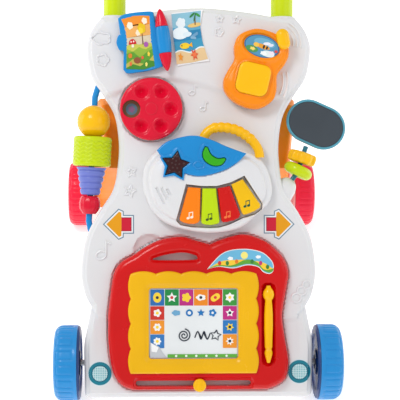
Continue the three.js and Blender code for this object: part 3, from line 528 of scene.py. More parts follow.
def ink(r, g, b):
    """Printed film: a flat printed colour under a glossy laminate with a fine screen dot."""
    key = (r, g, b)
    if key not in INKS:
        INKS[key] = moulded("print_%02x%02x%02x" % key, srgb(r, g, b), roughness=0.3, grain=0.05,
                            grain_scale=2400.0, tint=0.05, coat=0.3, wear=0.0)
    return INKS[key]


def artwork(name, shapes, matrix, body, z, replaced=(), layer=0.05, thick=0.12):
    """A printed picture: thin flat inks laid one over the other."""
    verts, faces, slots, materials = [], [], [], []
    base = 0
    for i, (outline, colour) in enumerate(shapes):
        material = ink(*colour)
        if material not in materials:
            materials.append(material)
        p = anticlockwise(np.array(outline, float))
        n = len(p)
        high = z + layer * i
        verts.append(np.column_stack([p, np.full(n, high)]))
        verts.append(np.column_stack([p, np.full(n, high - thick)]))
        new = [tuple(range(base, base + n)), tuple(range(base + 2 * n - 1, base + n - 1, -1))]
        new += [(base + (k + 1) % n, base + k, base + n + k, base + n + (k + 1) % n) for k in range(n)]
        faces += new
        slots += [materials.index(material)] * len(new)
        base += 2 * n
    return mesh_piece(name, np.vstack(verts), faces, matrix, body, materials, replaced, slots, sharp=20)


# ---------------------------------------------------------------- the panel
PANEL_DEPTH = 45.0
PANEL_ROUND = 7.0


def silhouette():
    upper = run([(126, 495), (137, 482), (144, 467), (146, 450), (140, 418), (124, 393), (110, 367),
                 (104.5, 334), (105.5, 303), (112, 270), (131, 240), (147, 207), (153, 165),
                 (148.5, 136), (140, 119)])
    lower = run([(140, 119), (145, 92), (149, 70), (149, 46), (148, 8)])[1:]
    top = run([(-126, 495), (-98, 497), (-60, 503), (0, 508), (60, 503), (98, 497), (126, 495)])
    side = np.vstack([upper, lower, arc(141, 7, 7, start=0, end=-90, count=6)])
    other = side[::-1] * (-1, 1)
    return np.vstack([top[1:-1], side, other])


BOARD = np.vstack([
    run([(-118, 108), (-114, 142), (-110, 164), (-101, 177), (-84, 187), (-71, 196), (-50, 206), (-23, 210),
         (-4, 205), (14, 200)]),
    run([(14, 200), (31, 207), (58, 213), (84, 205), (102, 191), (112, 178), (116, 162), (114, 147),
         (109, 118), (108, 104), (112, 75), (116, 50), (113, 28), (103, 18), (88, 12)])[1:],
    run([(-86, 12), (-99, 17), (-109, 29), (-115, 50), (-118, 80)])])
PHONE = loop([(52, 471), (74, 479), (98, 473), (113, 463), (116, 447), (111, 433), (101, 419), (100, 400),
              (94, 385), (74, 375), (50, 381), (34, 395), (31, 411), (37, 425), (45, 439), (45, 456)])
PIANO = loop([(-63, 313), (-72, 295), (-72, 270), (-60, 243), (-38, 225), (7, 215), (49, 220), (75, 239),
              (92, 258), (93, 282), (82, 307), (62, 320), (30, 328), (-10, 333), (-46, 325)])
OUTLINE = anticlockwise(silhouette())
SHELF_EDGE = run([(-170, 384), (-117, 397), (-88, 408), (-65, 417), (-42, 419), (-18, 416), (5, 411),
                  (28, 404), (60, 397), (103, 396), (130, 404), (170, 410)])
LOBE_EDGE = run([(-170, 126), (-140, 118), (-133, 112), (-118, 105), (0, 100), (118, 105), (128, 112),
                 (140, 119), (170, 128)])
SCOOP_AT = (-64.0, 192.0)
SCOOP_R = 21.0


def step_below(p, edge, drop, soft, fade):
    """The face drops under an edge line and climbs back gently further down."""
    t = np.interp(p[:, 0], edge[:, 0], edge[:, 1]) - p[:, 1]
    return -drop * smooth(t / soft) * (1 - smooth((t - soft) / fade))


def panel_height(p, d):
    z = 0.9 * rounded(d, PANEL_ROUND)
    z = z + step_below(p, SHELF_EDGE, 4.2, 9, 58) * smooth(d / 4)
    z = z + step_below(p, LOBE_EDGE, 3.4, 6, 60) * smooth((np.abs(p[:, 0]) - 100) / 10)
    board = depth_in(p, BOARD)
    z = z - 3.6 * smooth((board + 2.2) / 1.8)
    r = np.hypot(p[:, 0] - SCOOP_AT[0], p[:, 1] - SCOOP_AT[1]) / SCOOP_R
    z = z - 6.5 * np.sqrt(np.clip(1 - r ** 2, 0, 1)) * (board < 0)
    r = np.hypot(p[:, 0] - DIAL_AT[0], p[:, 1] - DIAL_AT[1])
    z = z - 1.6 * smooth((42.6 - r) / 1.0) * (1 - smooth((33.0 - r) / 3))
    z = z + 0.8 * hump(r - 44.0, 1.2)
    return z - 1.9 * (1 - smooth((d - 5.2) / 2.2))


def note(x, y, size):
    """A quaver: an oval head, a stem and a flag."""
    return [(arc(x, y, 0.34 * size, 0.26 * size, count=14, turn=20), True),
            (np.array([(x + 0.32 * size, y), (x + 0.32 * size, y + 0.9 * size),
                       (x + 0.62 * size, y + 0.7 * size)]), False)]


def cloud(x, y, size):
    a = np.radians(np.linspace(0, 360, 60, endpoint=False))
    r = size * (0.75 + 0.18 * np.abs(np.sin(2.5 * a)))
    return np.column_stack([x + 1.25 * r * np.cos(a), y + 0.8 * r * np.sin(a)])


def flower(x, y, size, petals=5):
    a = np.radians(np.linspace(0, 360, 60, endpoint=False))
    r = size * (0.7 + 0.3 * np.abs(np.cos(petals * a / 2)))
    return np.column_stack([x + r * np.cos(a), y + r * np.sin(a)])


def embossed_lines():
    lines = [(cloud(-127, 467, 11), True), (flower(-125, 439, 8), True), (flower(26, 476, 5.5), True)]
    lines += [(star(x, y, r, 0.45 * r, turn), True) for x, y, r, turn in
              ((27, 493, 5, 90), (49, 492, 5.5, 80), (-88, 294, 7, 100), (-90, 269, 8, 75))]
    lines += note(-9, 397, 11) + note(5, 376, 11) + note(-127, 186, 20)
    lines += [(arc(x, y, r, count=20), True) for x, y, r in ((140.5, 147, 5.2), (134, 139, 5.6),
                (126.9, 130, 6))]
    lines += [(arc(104, 462, r, start=-12, end=62, count=12), False) for r in (19, 24, 29)]
    lines += [(arc(70, 413, r, start=-28, end=14, count=12), False) for r in (40, 46)]
    return lines


def build_panel():
    parts = [relief(OUTLINE, panel_height, -PANEL_DEPTH, PANEL_ROUND, (), spacing=2.2, edge_step=2.0)]
    for line, closed in embossed_lines():
        middle = np.array(line).mean(0)[None]
        z = float(panel_height(middle, distance_to(middle, OUTLINE))[0])
        parts.append(ridge(line, z + 0.35, 1.4, closed))
    boss, faces = revolve([(0, -14), (15.4, -14), (15.2, -5), (14, 3), (11.6, 9), (8.5, 13), (5, 15),
                           (0, 15.4)], 48)
    direction = Vector((0.6, 0.8, 0.0))
    turn = Vector((0, 0, 1)).rotation_difference(direction).to_matrix()
    boss = boss @ np.array(turn).T + np.array((114.0, 272.0, -20.0))
    parts.append((boss, faces))
    for x in (-110.0, 110.0):
        collar, faces = revolve([(15.2, 0), (18.6, 0), (18.6, 3), (17.2, 4.4), (15.2, 4.6), (15.2, 0)], 48)
        collar = collar[:, [0, 2, 1]] + np.array((x, 493.5, -22.0))
        parts.append((collar, [f[::-1] for f in faces]))
    verts, faces = merge(parts)
    mesh_piece("panel_shell", verts, faces, PANEL, "walker", WHITE, ["front_panel"], sharp=32)


def build_back():
    edge = inset(OUTLINE, 3.4)

    def face(p, d):
        z = 3.0 + rounded(d, 1.2)
        rib = np.maximum(hump(p[:, 0] % 52 - 26, 1.6), hump(p[:, 1] % 64 - 32, 1.6))
        frame_line = smooth((d - 12) / 1.5)
        z = z - 1.4 * frame_line + 1.1 * rib * frame_line
        for x, y in ((-118, 60), (118, 60), (-122, 175), (122, 175), (-84, 330), (84, 330), (-112, 450),
                     (112, 450)):
            r = np.hypot(p[:, 0] - x, p[:, 1] - y)
            z = np.where(r < 7.5, 2.6, z)
            z = np.where(r < 4.4, 0.6, z)
        return z

    flipped = edge * (-1, 1)
    back = frame_of(-RIGHT, UP, -OUT, PANEL_ORIGIN - OUT * MM * (PANEL_DEPTH - 3.0))
    verts, faces = relief(flipped, face, 0.0, 1.2, (), spacing=2.6, edge_step=3.0)
    mesh_piece("back_shell", verts, faces, back, "walker", WHITE_MATT, ["back_cover"], sharp=30)
    screws = []
    for x, y in ((-118, 60), (118, 60), (-122, 175), (122, 175), (-84, 330), (84, 330), (-112, 450),
                 (112, 450)):
        head, faces = revolve([(0, 0.4), (3.4, 0.4), (3.6, 1.4), (2.6, 2.3), (1.5, 2.5), (1.0, 1.3),
                               (0, 1.2)], 20)
        screws.append((head + np.array((x, y, 0.0)), faces))
    verts, faces = merge(screws)
    mesh_piece("back_screws", verts, faces, back, "walker", STEEL)


HANDLE_X = 110.0
HANDLE_TOP = 588.0
HANDLE_BEND = 42.0
HANDLE_W = -22.0


def build_handle():
    left = np.column_stack([np.full(20, -HANDLE_X), np.linspace(434, HANDLE_TOP - HANDLE_BEND, 20)])
    t = np.linspace(0, 1, 18)[1:-1, None]
    corner = ((1 - t) ** 2 * np.array((-HANDLE_X, HANDLE_TOP - HANDLE_BEND))
              + 2 * t * (1 - t) * np.array((-HANDLE_X, HANDLE_TOP))
              + t ** 2 * np.array((-HANDLE_X + HANDLE_BEND, HANDLE_TOP)))
    bar = np.column_stack([np.linspace(-HANDLE_X + HANDLE_BEND, HANDLE_X - HANDLE_BEND, 160),
                           np.full(160, HANDLE_TOP)])
    path = np.vstack([left, corner, bar, (corner * (-1, 1))[::-1], (left * (-1, 1))[::-1]])
    path = np.column_stack([path, np.full(len(path), HANDLE_W)])
    radii = np.full(len(path), 14.5)
    x = path[:, 0]
    grip = (np.abs(x) < 62) & (path[:, 1] > HANDLE_TOP - 1)
    radii[grip] -= 0.9 * (0.5 - 0.5 * np.cos(2 * math.pi * x[grip] / 8.0))
    verts, faces = sweep(path, radii, 40)
    mesh_piece("push_handle", verts, faces, PANEL, "walker", LIME, ["handle_bar"], sharp=50)


# ---------------------------------------------------------------- legs and wheels
WHEEL_R = 50.0
WHEEL_W = 34.0
LEG_X = 139.0
LEG_TOP_X = 111.0
LEG_TOP_V = 385.0
LEG_FOOT_V = 300.0
LEG_HALF = 12.0
WHEELBASE = 367.0
AXLE_BOSS_R = 22.0


def leg_outline(origin_y):
    """The leg's side view: y backwards and z up, in millimetres."""
    def at_panel(v):
        p = (PANEL_ORIGIN + MM * (UP * v - OUT * (PANEL_DEPTH + 0.35))) / MM
        return p.y - origin_y, p.z
    (top_y, top_z), (foot_y, foot_z) = at_panel(LEG_TOP_V), at_panel(LEG_FOOT_V)
    axle_y = WHEELBASE / 2
    boss = [(axle_y + AXLE_BOSS_R * math.cos(math.radians(a)), WHEEL_R
             + AXLE_BOSS_R * math.sin(math.radians(a)))
            for a in range(60, -141, -20)]
    front = run([(top_y, top_z), (top_y + 52, top_z - 26), (top_y + 102, top_z - 92), (axle_y - 8, 130),
                 boss[0]])
    rear = run([(axle_y - 30, 62), (axle_y - 62, 96), (foot_y + 66, foot_z - 68), (foot_y, foot_z)])
    return np.vstack([front, boss[1:], rear])


def build_leg(name, side):
    origin_y = JOINTS["rear_left_spin"]["pos_m"][1] / MM - WHEELBASE / 2
    top_y = (PANEL_ORIGIN + MM * UP * LEG_TOP_V).y / MM - origin_y
    splay = (LEG_X - LEG_TOP_X) / (WHEELBASE / 2 - top_y)
    place = frame_of(Vector((side * splay, 1, 0)), Vector((0, 0, 1)), Vector((1, 0, 0)),
                     (PANEL_ORIGIN.x + MM * side * (LEG_TOP_X - splay * top_y), origin_y * MM, 0.0))

    def face(p, d):
        web = 0.25 * smooth((d - 9) / 3.5)
        rib = np.exp(-((p[:, 1] + 0.9 * p[:, 0]) % 44 - 22) ** 2 / 5.0)
        hub = np.hypot(p[:, 0] - WHEELBASE / 2, p[:, 1] - WHEEL_R)
        return LEG_HALF + rounded(d, 5.5) - (2.4 - 1.6 * rib) * web * smooth((hub - 15) / 3)

    upper, upper_faces = relief(leg_outline(origin_y), face, 0.0, 5.5, (), spacing=2.8, edge_step=2.4)
    verts, faces = merge([(upper, upper_faces), (upper * (1, 1, -1), upper_faces)])
    mesh_piece(name + "_shell", verts, faces, place, "walker", LEG_ORANGE, [name], sharp=40)


TREAD_BLOCKS = 16


def wheel_profile():
    half = WHEEL_W / 2
    shoulder = [(WHEEL_R - 10 + 10 * math.sin(math.radians(a)), half - 12 + 12 * math.cos(math.radians(a)))
                for a in np.linspace(0, 90, 16)]
    tread = [(WHEEL_R, h) for h in np.linspace(half - 13, -half + 4, 12)]
    return ([(5, half - 5), (29, half - 5), (30, half - 4.4), (33, half - 0.8), (34.5, half)] + shoulder
            + tread
            + [(WHEEL_R - 0.6, -half + 3.4), (WHEEL_R - 5, -half + 3.4), (WHEEL_R - 5, -half + 9),
               (5, -half + 9), (5, half - 5)])


def tread(angle, height):
    """Rounded-rectangle grooves cut across the tread from the outer shoulder."""
    pitch = 2 * math.pi / TREAD_BLOCKS
    across = abs((angle % pitch) - pitch / 2) / (pitch / 2)
    if not -WHEEL_W / 2 + 8 < height < WHEEL_W / 2 - 3:
        return 1.0
    along = min(height + WHEEL_W / 2 - 8, WHEEL_W / 2 - 3 - height)
    box_edge = min((1 - across) * 9.8 - 2.6, along)
    groove = math.exp(-((box_edge - 1.2) / 0.8) ** 2) if box_edge > -1.0 else 0.0
    return 1.0 - 0.022 * groove


def wheel_frame(joint, side):
    z_axis = Vector((side, 0, 0))
    x_axis = Vector((0, 1, 0))
    return frame_of(x_axis, z_axis.cross(x_axis), z_axis, Vector(JOINTS[joint]["pos_m"]))


def build_wheel(end, word, side, colour, disc_colour):
    body = end + "_" + word
    place = wheel_frame(body + "_spin", side)
    node = body + "_wheel"
    verts, faces = revolve(wheel_profile(), 224, tread)
    faces = [f[::-1] for f in faces]
    mesh_piece(node + "_tyre", verts, faces, place, body, colour, [node], sharp=42)
    half = WHEEL_W / 2
    inner = [(9.5, -half + 3), (WHEEL_R - 5.4, -half + 6), (WHEEL_R - 5.4, -half + 3),
             (WHEEL_R - 1.2, -half + 3),
             (WHEEL_R - 1.6, -half + 1.4), (WHEEL_R - 4, -half + 0.4), (WHEEL_R - 8, -half),
             (WHEEL_R - 12, -half + 0.3),
             (WHEEL_R - 13.5, -half + 2.2), (18, -half + 2.4), (16, -half + 0.4), (9.5, -half),
             (9.5, -half + 3)]

    def spokes(angle, height):
        return 1.0
    verts, faces = revolve(inner, 96, spokes)
    mesh_piece(node + "_disc", verts, faces, place, body, disc_colour, [node + "_inner_disc"],
               sharp=30)
    cap = [(0, half - 4.4), (26, half - 4.65), (26, half - 3), (25, half - 1.7), (22, half - 1.0),
           (19.5, half - 1.9),
           (17, half - 2.2), (8, half - 2.0), (6.5, half - 0.6), (4, half - 0.1), (0, half)]

    def petals(angle, height):
        return 1.0 + (0.0 if height < half - 2.6 else 0.012 * math.cos(5 * angle))
    verts, faces = revolve(cap, 90, petals)
    mesh_piece(body + "_cap", verts, faces, place, body, colour, [body + "_hub_cap"], sharp=35)


# ---------------------------------------------------------------- book
SPINDLE_W = 9.8
SPINDLE_TILT = math.radians(7.4)
SPINDLE_AT = (-46.2, 464.0)
SPINDLE_DIR = Vector((-math.sin(SPINDLE_TILT), math.cos(SPINDLE_TILT), 0))
PAGE_MIDDLE = SPINDLE_W - 3.3
PAGE_HALF = 2.5
PAGE_FIELD = np.vstack([run([(-94.5, 426), (-73, 425), (-57, 430)]),
                        run([(-57, 430), (-61.5, 463), (-64, 496)])[1:],
                        run([(-64, 496), (-81, 496), (-101, 491)])[1:],
                        run([(-101, 491), (-96, 476), (-94, 458), (-94.5, 426)])[1:-1]])
PAGE = np.vstack([run([(-105, 492), (-97, 497), (-80, 500), (-63, 501), (-59, 499)]),
                  run([(-47, 430), (-63, 425), (-80, 422), (-93, 421), (-98, 426)]),
                  run([(-98, 436), (-98, 449), (-103, 451), (-107, 460), (-105, 469), (-102, 471)])])


def spindle_radius(t):
    """The spindle is widest in the middle and tapers to rounded tips."""
    return 9.4 * max(0.0, 1 - (t / 40.4) ** 2) ** 0.6


def spindle_part(profile, count=48, radial=None):
    verts, faces = revolve(profile, count, radial)
    turn = Vector((0, 0, 1)).rotation_difference(SPINDLE_DIR).to_matrix()
    return verts @ np.array(turn).T + np.array((*SPINDLE_AT, SPINDLE_W)), faces


UNIT_STEPS = np.linspace(0, 1, 14)


def unit_square():
    """The border of a 0 to 1 picture, with points along its sides so that it can be bent."""
    back = UNIT_STEPS[::-1]
    return ([(x, 0) for x in UNIT_STEPS] + [(1, y) for y in UNIT_STEPS[1:]] + [(x, 1) for x in back[1:]]
            + [(0, y) for y in back[1:-1]])


def placed(shapes, place):
    """A 0 to 1 picture clipped to its border and laid on its page."""
    return [([place(min(max(x, 0), 1), min(max(y, 0), 1)) for x, y in outline], colour)
            for outline, colour in shapes]


def autumn_scene(place):
    """A made-up meadow: warm sky, hills, trees, a toadstool house, bushes and flowers."""
    full = unit_square()

    def ground(heights):
        knots = np.linspace(0, 1, len(heights))
        top = [(x, float(np.interp(x, knots, heights))) for x in np.linspace(0, 1, 30)]
        return top + [(x, 0) for x in UNIT_STEPS[::-1]]
    shapes = [(full, (222, 206, 178)), ([(x, max(y, 0.62)) for x, y in full], (240, 176, 96)),
              ([(x, max(y, 0.84)) for x, y in full], (244, 146, 40)),
              (cloud(0.24, 0.84, 0.1).tolist(), (250, 238, 214)),
              (cloud(0.8, 0.9, 0.09).tolist(), (250, 240, 220)),
              (cloud(0.5, 0.68, 0.08).tolist(), (248, 232, 204)),
              (ground((0.46, 0.5, 0.46, 0.49, 0.45)), (202, 202, 84)),
              (ground((0.4, 0.34, 0.42, 0.36, 0.4)), (150, 184, 58)),
              (ground((0.3, 0.34, 0.22, 0.3, 0.34)), (96, 160, 48)),
              (ground((0.1, 0.2, 0.12, 0.1, 0.22)), (196, 186, 84)),
              (ground((0.02, 0.1, 0.06, 0.16, 0.1)), (70, 140, 44)),
              ([(0.64, 0.46), (0.68, 0.46), (0.67, 0.68), (0.65, 0.68)], (96, 56, 30)),
              (cloud(0.66, 0.76, 0.14).tolist(), (236, 196, 20)),
              (cloud(0.62, 0.72, 0.08).tolist(), (248, 216, 50)),
              (arc(0.78, 0.45, 0.09, 0.05, count=20).tolist(), (170, 90, 170)),
              ([(0.2, 0.42), (0.3, 0.42), (0.29, 0.5), (0.21, 0.5)], (246, 236, 214)),
              (arc(0.25, 0.48, 0.15, 0.1, start=0, end=180, count=20).tolist(), (206, 30, 34)),
              (arc(0.2, 0.53, 0.025, 0.018, count=10).tolist(), (250, 240, 230)),
              (arc(0.3, 0.53, 0.025, 0.018, count=10).tolist(), (250, 240, 230)),
              (arc(0.4, 0.17, 0.13, 0.06, count=20).tolist(), (150, 84, 50)),
              (cloud(0.14, 0.26, 0.07).tolist(), (226, 130, 40)),
              (arc(0.6, 0.22, 0.05, 0.03, count=12).tolist(), (236, 96, 60)),
              (flower(0.84, 0.26, 0.05).tolist(), (248, 214, 70)),
              (flower(0.16, 0.1, 0.045).tolist(), (240, 110, 60)),
              (flower(0.72, 0.08, 0.045).tolist(), (244, 232, 120))]
    return placed(shapes, place)


def sea_scene(place):
    """A made-up beach: sky, an ice floe, an island with a palm, waves, a fish, shells and sand."""
    full = unit_square()

    def level(low, high):
        return [(x, min(max(y, low), high)) for x, y in full]
    sand = [(x, 0.22 + 0.03 * math.sin(9 * x)) for x in np.linspace(0, 1, 24)] + [(1, 0), (0.5, 0), (0, 0)]
    foam = [(x, 0.245 + 0.03 * math.sin(9 * x)) for x in np.linspace(0, 1, 24)] + [(1, 0), (0.5, 0), (0, 0)]
    shapes = [(full, (140, 194, 214)), (level(0, 0.72), (92, 170, 204)), (level(0, 0.62), (40, 132, 178)),
              (level(0, 0.44), (58, 152, 190)), (foam, (232, 244, 246)), (sand, (232, 200, 150)),
              (cloud(0.3, 0.8, 0.15).tolist(), (232, 242, 246)),
              (arc(0.26, 0.6, 0.3, 0.12, count=26).tolist(), (238, 246, 248)),
              (arc(0.5, 0.56, 0.16, 0.05, count=18).tolist(), (224, 238, 244)),
              (arc(0.8, 0.72, 0.26, 0.045, count=22).tolist(), (232, 196, 120)),
              ([(0.79, 0.72), (0.83, 0.72), (0.81, 0.9), (0.78, 0.9)], (120, 80, 44)),
              (arc(0.7, 0.93, 0.1, 0.026, count=14, turn=24).tolist(), (46, 130, 62)),
              (arc(0.89, 0.92, 0.1, 0.026, count=14, turn=-24).tolist(), (60, 150, 66)),
              (arc(0.79, 0.88, 0.09, 0.022, count=14, turn=70).tolist(), (40, 118, 56)),
              (stadium(0.76, 0.52, 0.26, 0.06, 14, 8).tolist(), (108, 160, 196)),
              (stadium(0.7, 0.47, 0.2, 0.05, -10, 8).tolist(), (130, 176, 206)),
              (arc(0.36, 0.34, 0.17, 0.06, count=20).tolist(), (246, 206, 40)),
              ([(0.5, 0.34), (0.62, 0.39), (0.62, 0.29)], (246, 176, 30)),
              (arc(0.26, 0.35, 0.022, 0.014, count=10).tolist(), (40, 50, 60)),
              (star(0.16, 0.13, 0.09, 0.045, 80).tolist(), (236, 150, 50)),
              (star(0.62, 0.14, 0.13, 0.06, 60, 6).tolist(), (222, 84, 48)),
              (arc(0.62, 0.14, 0.07, 0.045, count=14).tolist(), (238, 120, 70))]
    return placed(shapes, place)


def page_place(x, y):
    """The page picture's own 0 to 1 coordinates laid into its curved field."""
    left = np.interp(y, (0, 0.45, 0.75, 1), (-94.2, -93.8, -96.2, -100.6))
    right = np.interp(y, (0, 0.5, 1), (-57.4, -62.0, -64.4))
    bottom = np.interp(x, (0, 0.6, 1), (426.4, 425.6, 430.4))
    top = np.interp(x, (0, 0.5, 1), (490.6, 495.6, 495.4))
    return left + (right - left) * x, bottom + (top - bottom) * y


def sea_place(x, y):
    left = np.interp(y, (0, 0.5, 1), (-29.0, -33.0, -36.0))
    right = np.interp(y, (0, 0.35, 0.65, 1), (11.6, 4.6, 1.6, 2.4))
    bottom = np.interp(x, (0, 0.5, 1), (433.4, 436.0, 440.6))
    top = np.interp(x, (0, 0.5, 1), (498.4, 500.8, 503.4))
    return left + (right - left) * x, bottom + (top - bottom) * y


def build_book():
    top_z = PAGE_MIDDLE + PAGE_HALF
    field = PAGE_FIELD

    def page_face(p, d):
        border = depth_in(p, field)
        return top_z + rounded(d, 1.6) - 0.9 * smooth((border + 0.6) / 1.2)
    parts = [relief(PAGE, page_face, PAGE_MIDDLE - PAGE_HALF, 1.6, (), spacing=1.8, edge_step=1.4)]
    parts.append(spindle_part([(0, -17), (spindle_radius(17) - 0.4, -17)]
                              + [(spindle_radius(t), t) for t in np.linspace(-16.6, 16.6, 18)]
                              + [(spindle_radius(17) - 0.4, 17), (0, 17)], 64))
    verts, faces = merge(parts)
    mesh_piece("turning_page", verts, faces, PANEL, "page", BLUE, ["book_page"], sharp=35)
    artwork("page_scene", autumn_scene(page_place), PANEL, "page", top_z - 0.75,
            ["page_picture"])
    for name, side in (("spindle_cap_top", 1), ("spindle_cap_bottom", -1)):
        heights = np.concatenate([np.linspace(17.8, 37, 16), 40.4 - 3.4 * np.cos(np.linspace(0.3, 1.5, 8))])
        flare = [(0, side * 17.4), (spindle_radius(17.4) - 0.4, side * 17.4)]
        flare += [(spindle_radius(t), side * t) for t in heights] + [(0, side * 40.3)]
        middle = side * 25.0
        centre = np.array(SPINDLE_AT) + np.array((SPINDLE_DIR.x, SPINDLE_DIR.y)) * middle
        foot = rounded_box(centre[0], centre[1], 7, 15, 1.5, math.degrees(SPINDLE_TILT), 4)
        verts, faces = merge([spindle_part(flare, 64), plate(foot, 0.35, SPINDLE_W, 0.8)])
        mesh_piece(name + "_shell", verts, faces, PANEL, "walker", CRIMSON, [name], sharp=40)
    right = np.vstack([run([(-36, 500), (-16, 502), (5, 505)]),
                       run([(5, 505), (2, 480), (6, 459), (14, 438)])[1:],
                       run([(14, 438), (-8, 435), (-28, 431)])[1:]])
    right = right[right[:, 0] > -90]
    verts, faces = plate(right, 0.35, 1.9, 0.6, spacing=4)
    mesh_piece("right_page", verts, faces, PANEL, "walker", ink(244, 244, 246),
               ["right_picture"])
    artwork("right_scene", sea_scene(sea_place), PANEL, "walker", 2.0)


# ---------------------------------------------------------------- phone
PHONE_TOP = 22.0
BUTTON_AT = (69.0, 413.0)
WINDOW_AT = (80.0, 455.0)
ANTENNA_AT = (107.6, 464.5)


def build_phone():
    button_hole = rounded_box(*BUTTON_AT, 42.6, 41.6, 10.3, -13)
    window = arc(*WINDOW_AT, 24.8, 15.6, count=60, turn=-16)

    def face(p, d):
        outer = distance_to(p, anticlockwise(PHONE))
        z = PHONE_TOP - 4.5 + 4.5 * smooth((outer - 3) / 18) + rounded(outer, 6.5)
        z = z - 1.3 * hump(outer - 3.6, 0.8)
        wd = depth_in(p, window)
        z = z + 1.9 * hump(wd + 2.4, 1.9) - 0.7 * smooth(wd / 0.8)
        hole = distance_to(p, button_hole)
        return z + rounded(hole, 0.6) - 1.2 * hump(hole - 1.6, 1.6)
    verts, faces = relief(PHONE, face, 0.35, 6.5, [button_hole], spacing=1.6, hole_radius=0.6)
    mesh_piece("phone_body", verts, faces, PANEL, "walker", ORANGE, ["phone_shell"], sharp=50)

    def key(p, d):
        return PHONE_TOP + 4.0 + rounded(d, 3.2) - 1.2 + 1.2 * smooth(d / 18)
    verts, faces = relief(inset(button_hole, 0.28), key, PHONE_TOP - 7, 3.2, (), spacing=1.2, edge_step=1.2)
    mesh_piece("phone_key_cap", verts, faces, PANEL, "phone_key", YELLOW, ["phone_button"],
               sharp=50)
    knob = stadium(*ANTENNA_AT, 27, 17, 100, 16)

    def knob_face(p, d):
        return PHONE_TOP + 5.0 + rounded(d, 8.0) * 0.9
    verts, faces = relief(knob, knob_face, PHONE_TOP - 14, 8.0, (), spacing=1.2, edge_step=1.0)
    mesh_piece("phone_aerial", verts, faces, PANEL, "walker", YELLOW, ["phone_antenna"], sharp=60)

    def oval(x, y):
        a = math.radians(-16)
        px, py = x * 23.2, y * 14.2
        return (WINDOW_AT[0] + px * math.cos(a) - py * math.sin(a), WINDOW_AT[1] + px * math.sin(a)
                + py * math.cos(a))
    shapes = [(arc(0, 0, 1, count=48), (46, 104, 150)), (arc(0, 0, 0.93, count=48), (84, 150, 186)),
              (arc(0.1, 0.35, 0.6, 0.4, count=26), (112, 176, 206)),
              (arc(-0.5, -0.45, 0.36, 0.3, count=20), (82, 150, 84)),
              (arc(0.45, -0.52, 0.36, 0.28, count=20), (226, 238, 238)),
              (flower(0.2, -0.58, 0.2), (244, 250, 250)),
              (flower(0.62, -0.36, 0.18), (240, 226, 238)), (flower(-0.46, -0.42, 0.16), (246, 220, 110)),
              (arc(0.05, 0.0, 0.42, 0.2, count=24, turn=-8), (236, 160, 50)),
              (arc(0.12, 0.0, 0.06, 0.19, count=12), (40, 36, 40)),
              (arc(0.3, -0.03, 0.06, 0.15, count=12), (40, 36, 40)),
              (arc(0.24, 0.34, 0.22, 0.13, count=18, turn=30), (238, 238, 248)),
              (arc(0.48, 0.3, 0.18, 0.11, count=18, turn=50), (226, 230, 244)),
              (arc(-0.32, 0.02, 0.16, 0.2, count=18), (246, 196, 80)),
              (arc(0.84, -0.12, 0.09, 0.13, count=14), (224, 70, 60))]
    artwork("phone_window_print", [([oval(x, y) for x, y in s], c) for s, c in shapes], PANEL, "walker",
            PHONE_TOP - 0.45, layer=0.02)


# ---------------------------------------------------------------- dial
DIAL_R = 40.5
DIAL_LOW = 2.0
DIAL_THICK = 10.0
DIAL_PITCH_R = 25.6
DIMPLE_R = 11.5
DIMPLE_CUP = 8.6


def dial_spot(deg):
    a = math.radians(deg)
    return DIAL_AT[0] + DIAL_PITCH_R * math.cos(a), DIAL_AT[1] + DIAL_PITCH_R * math.sin(a)


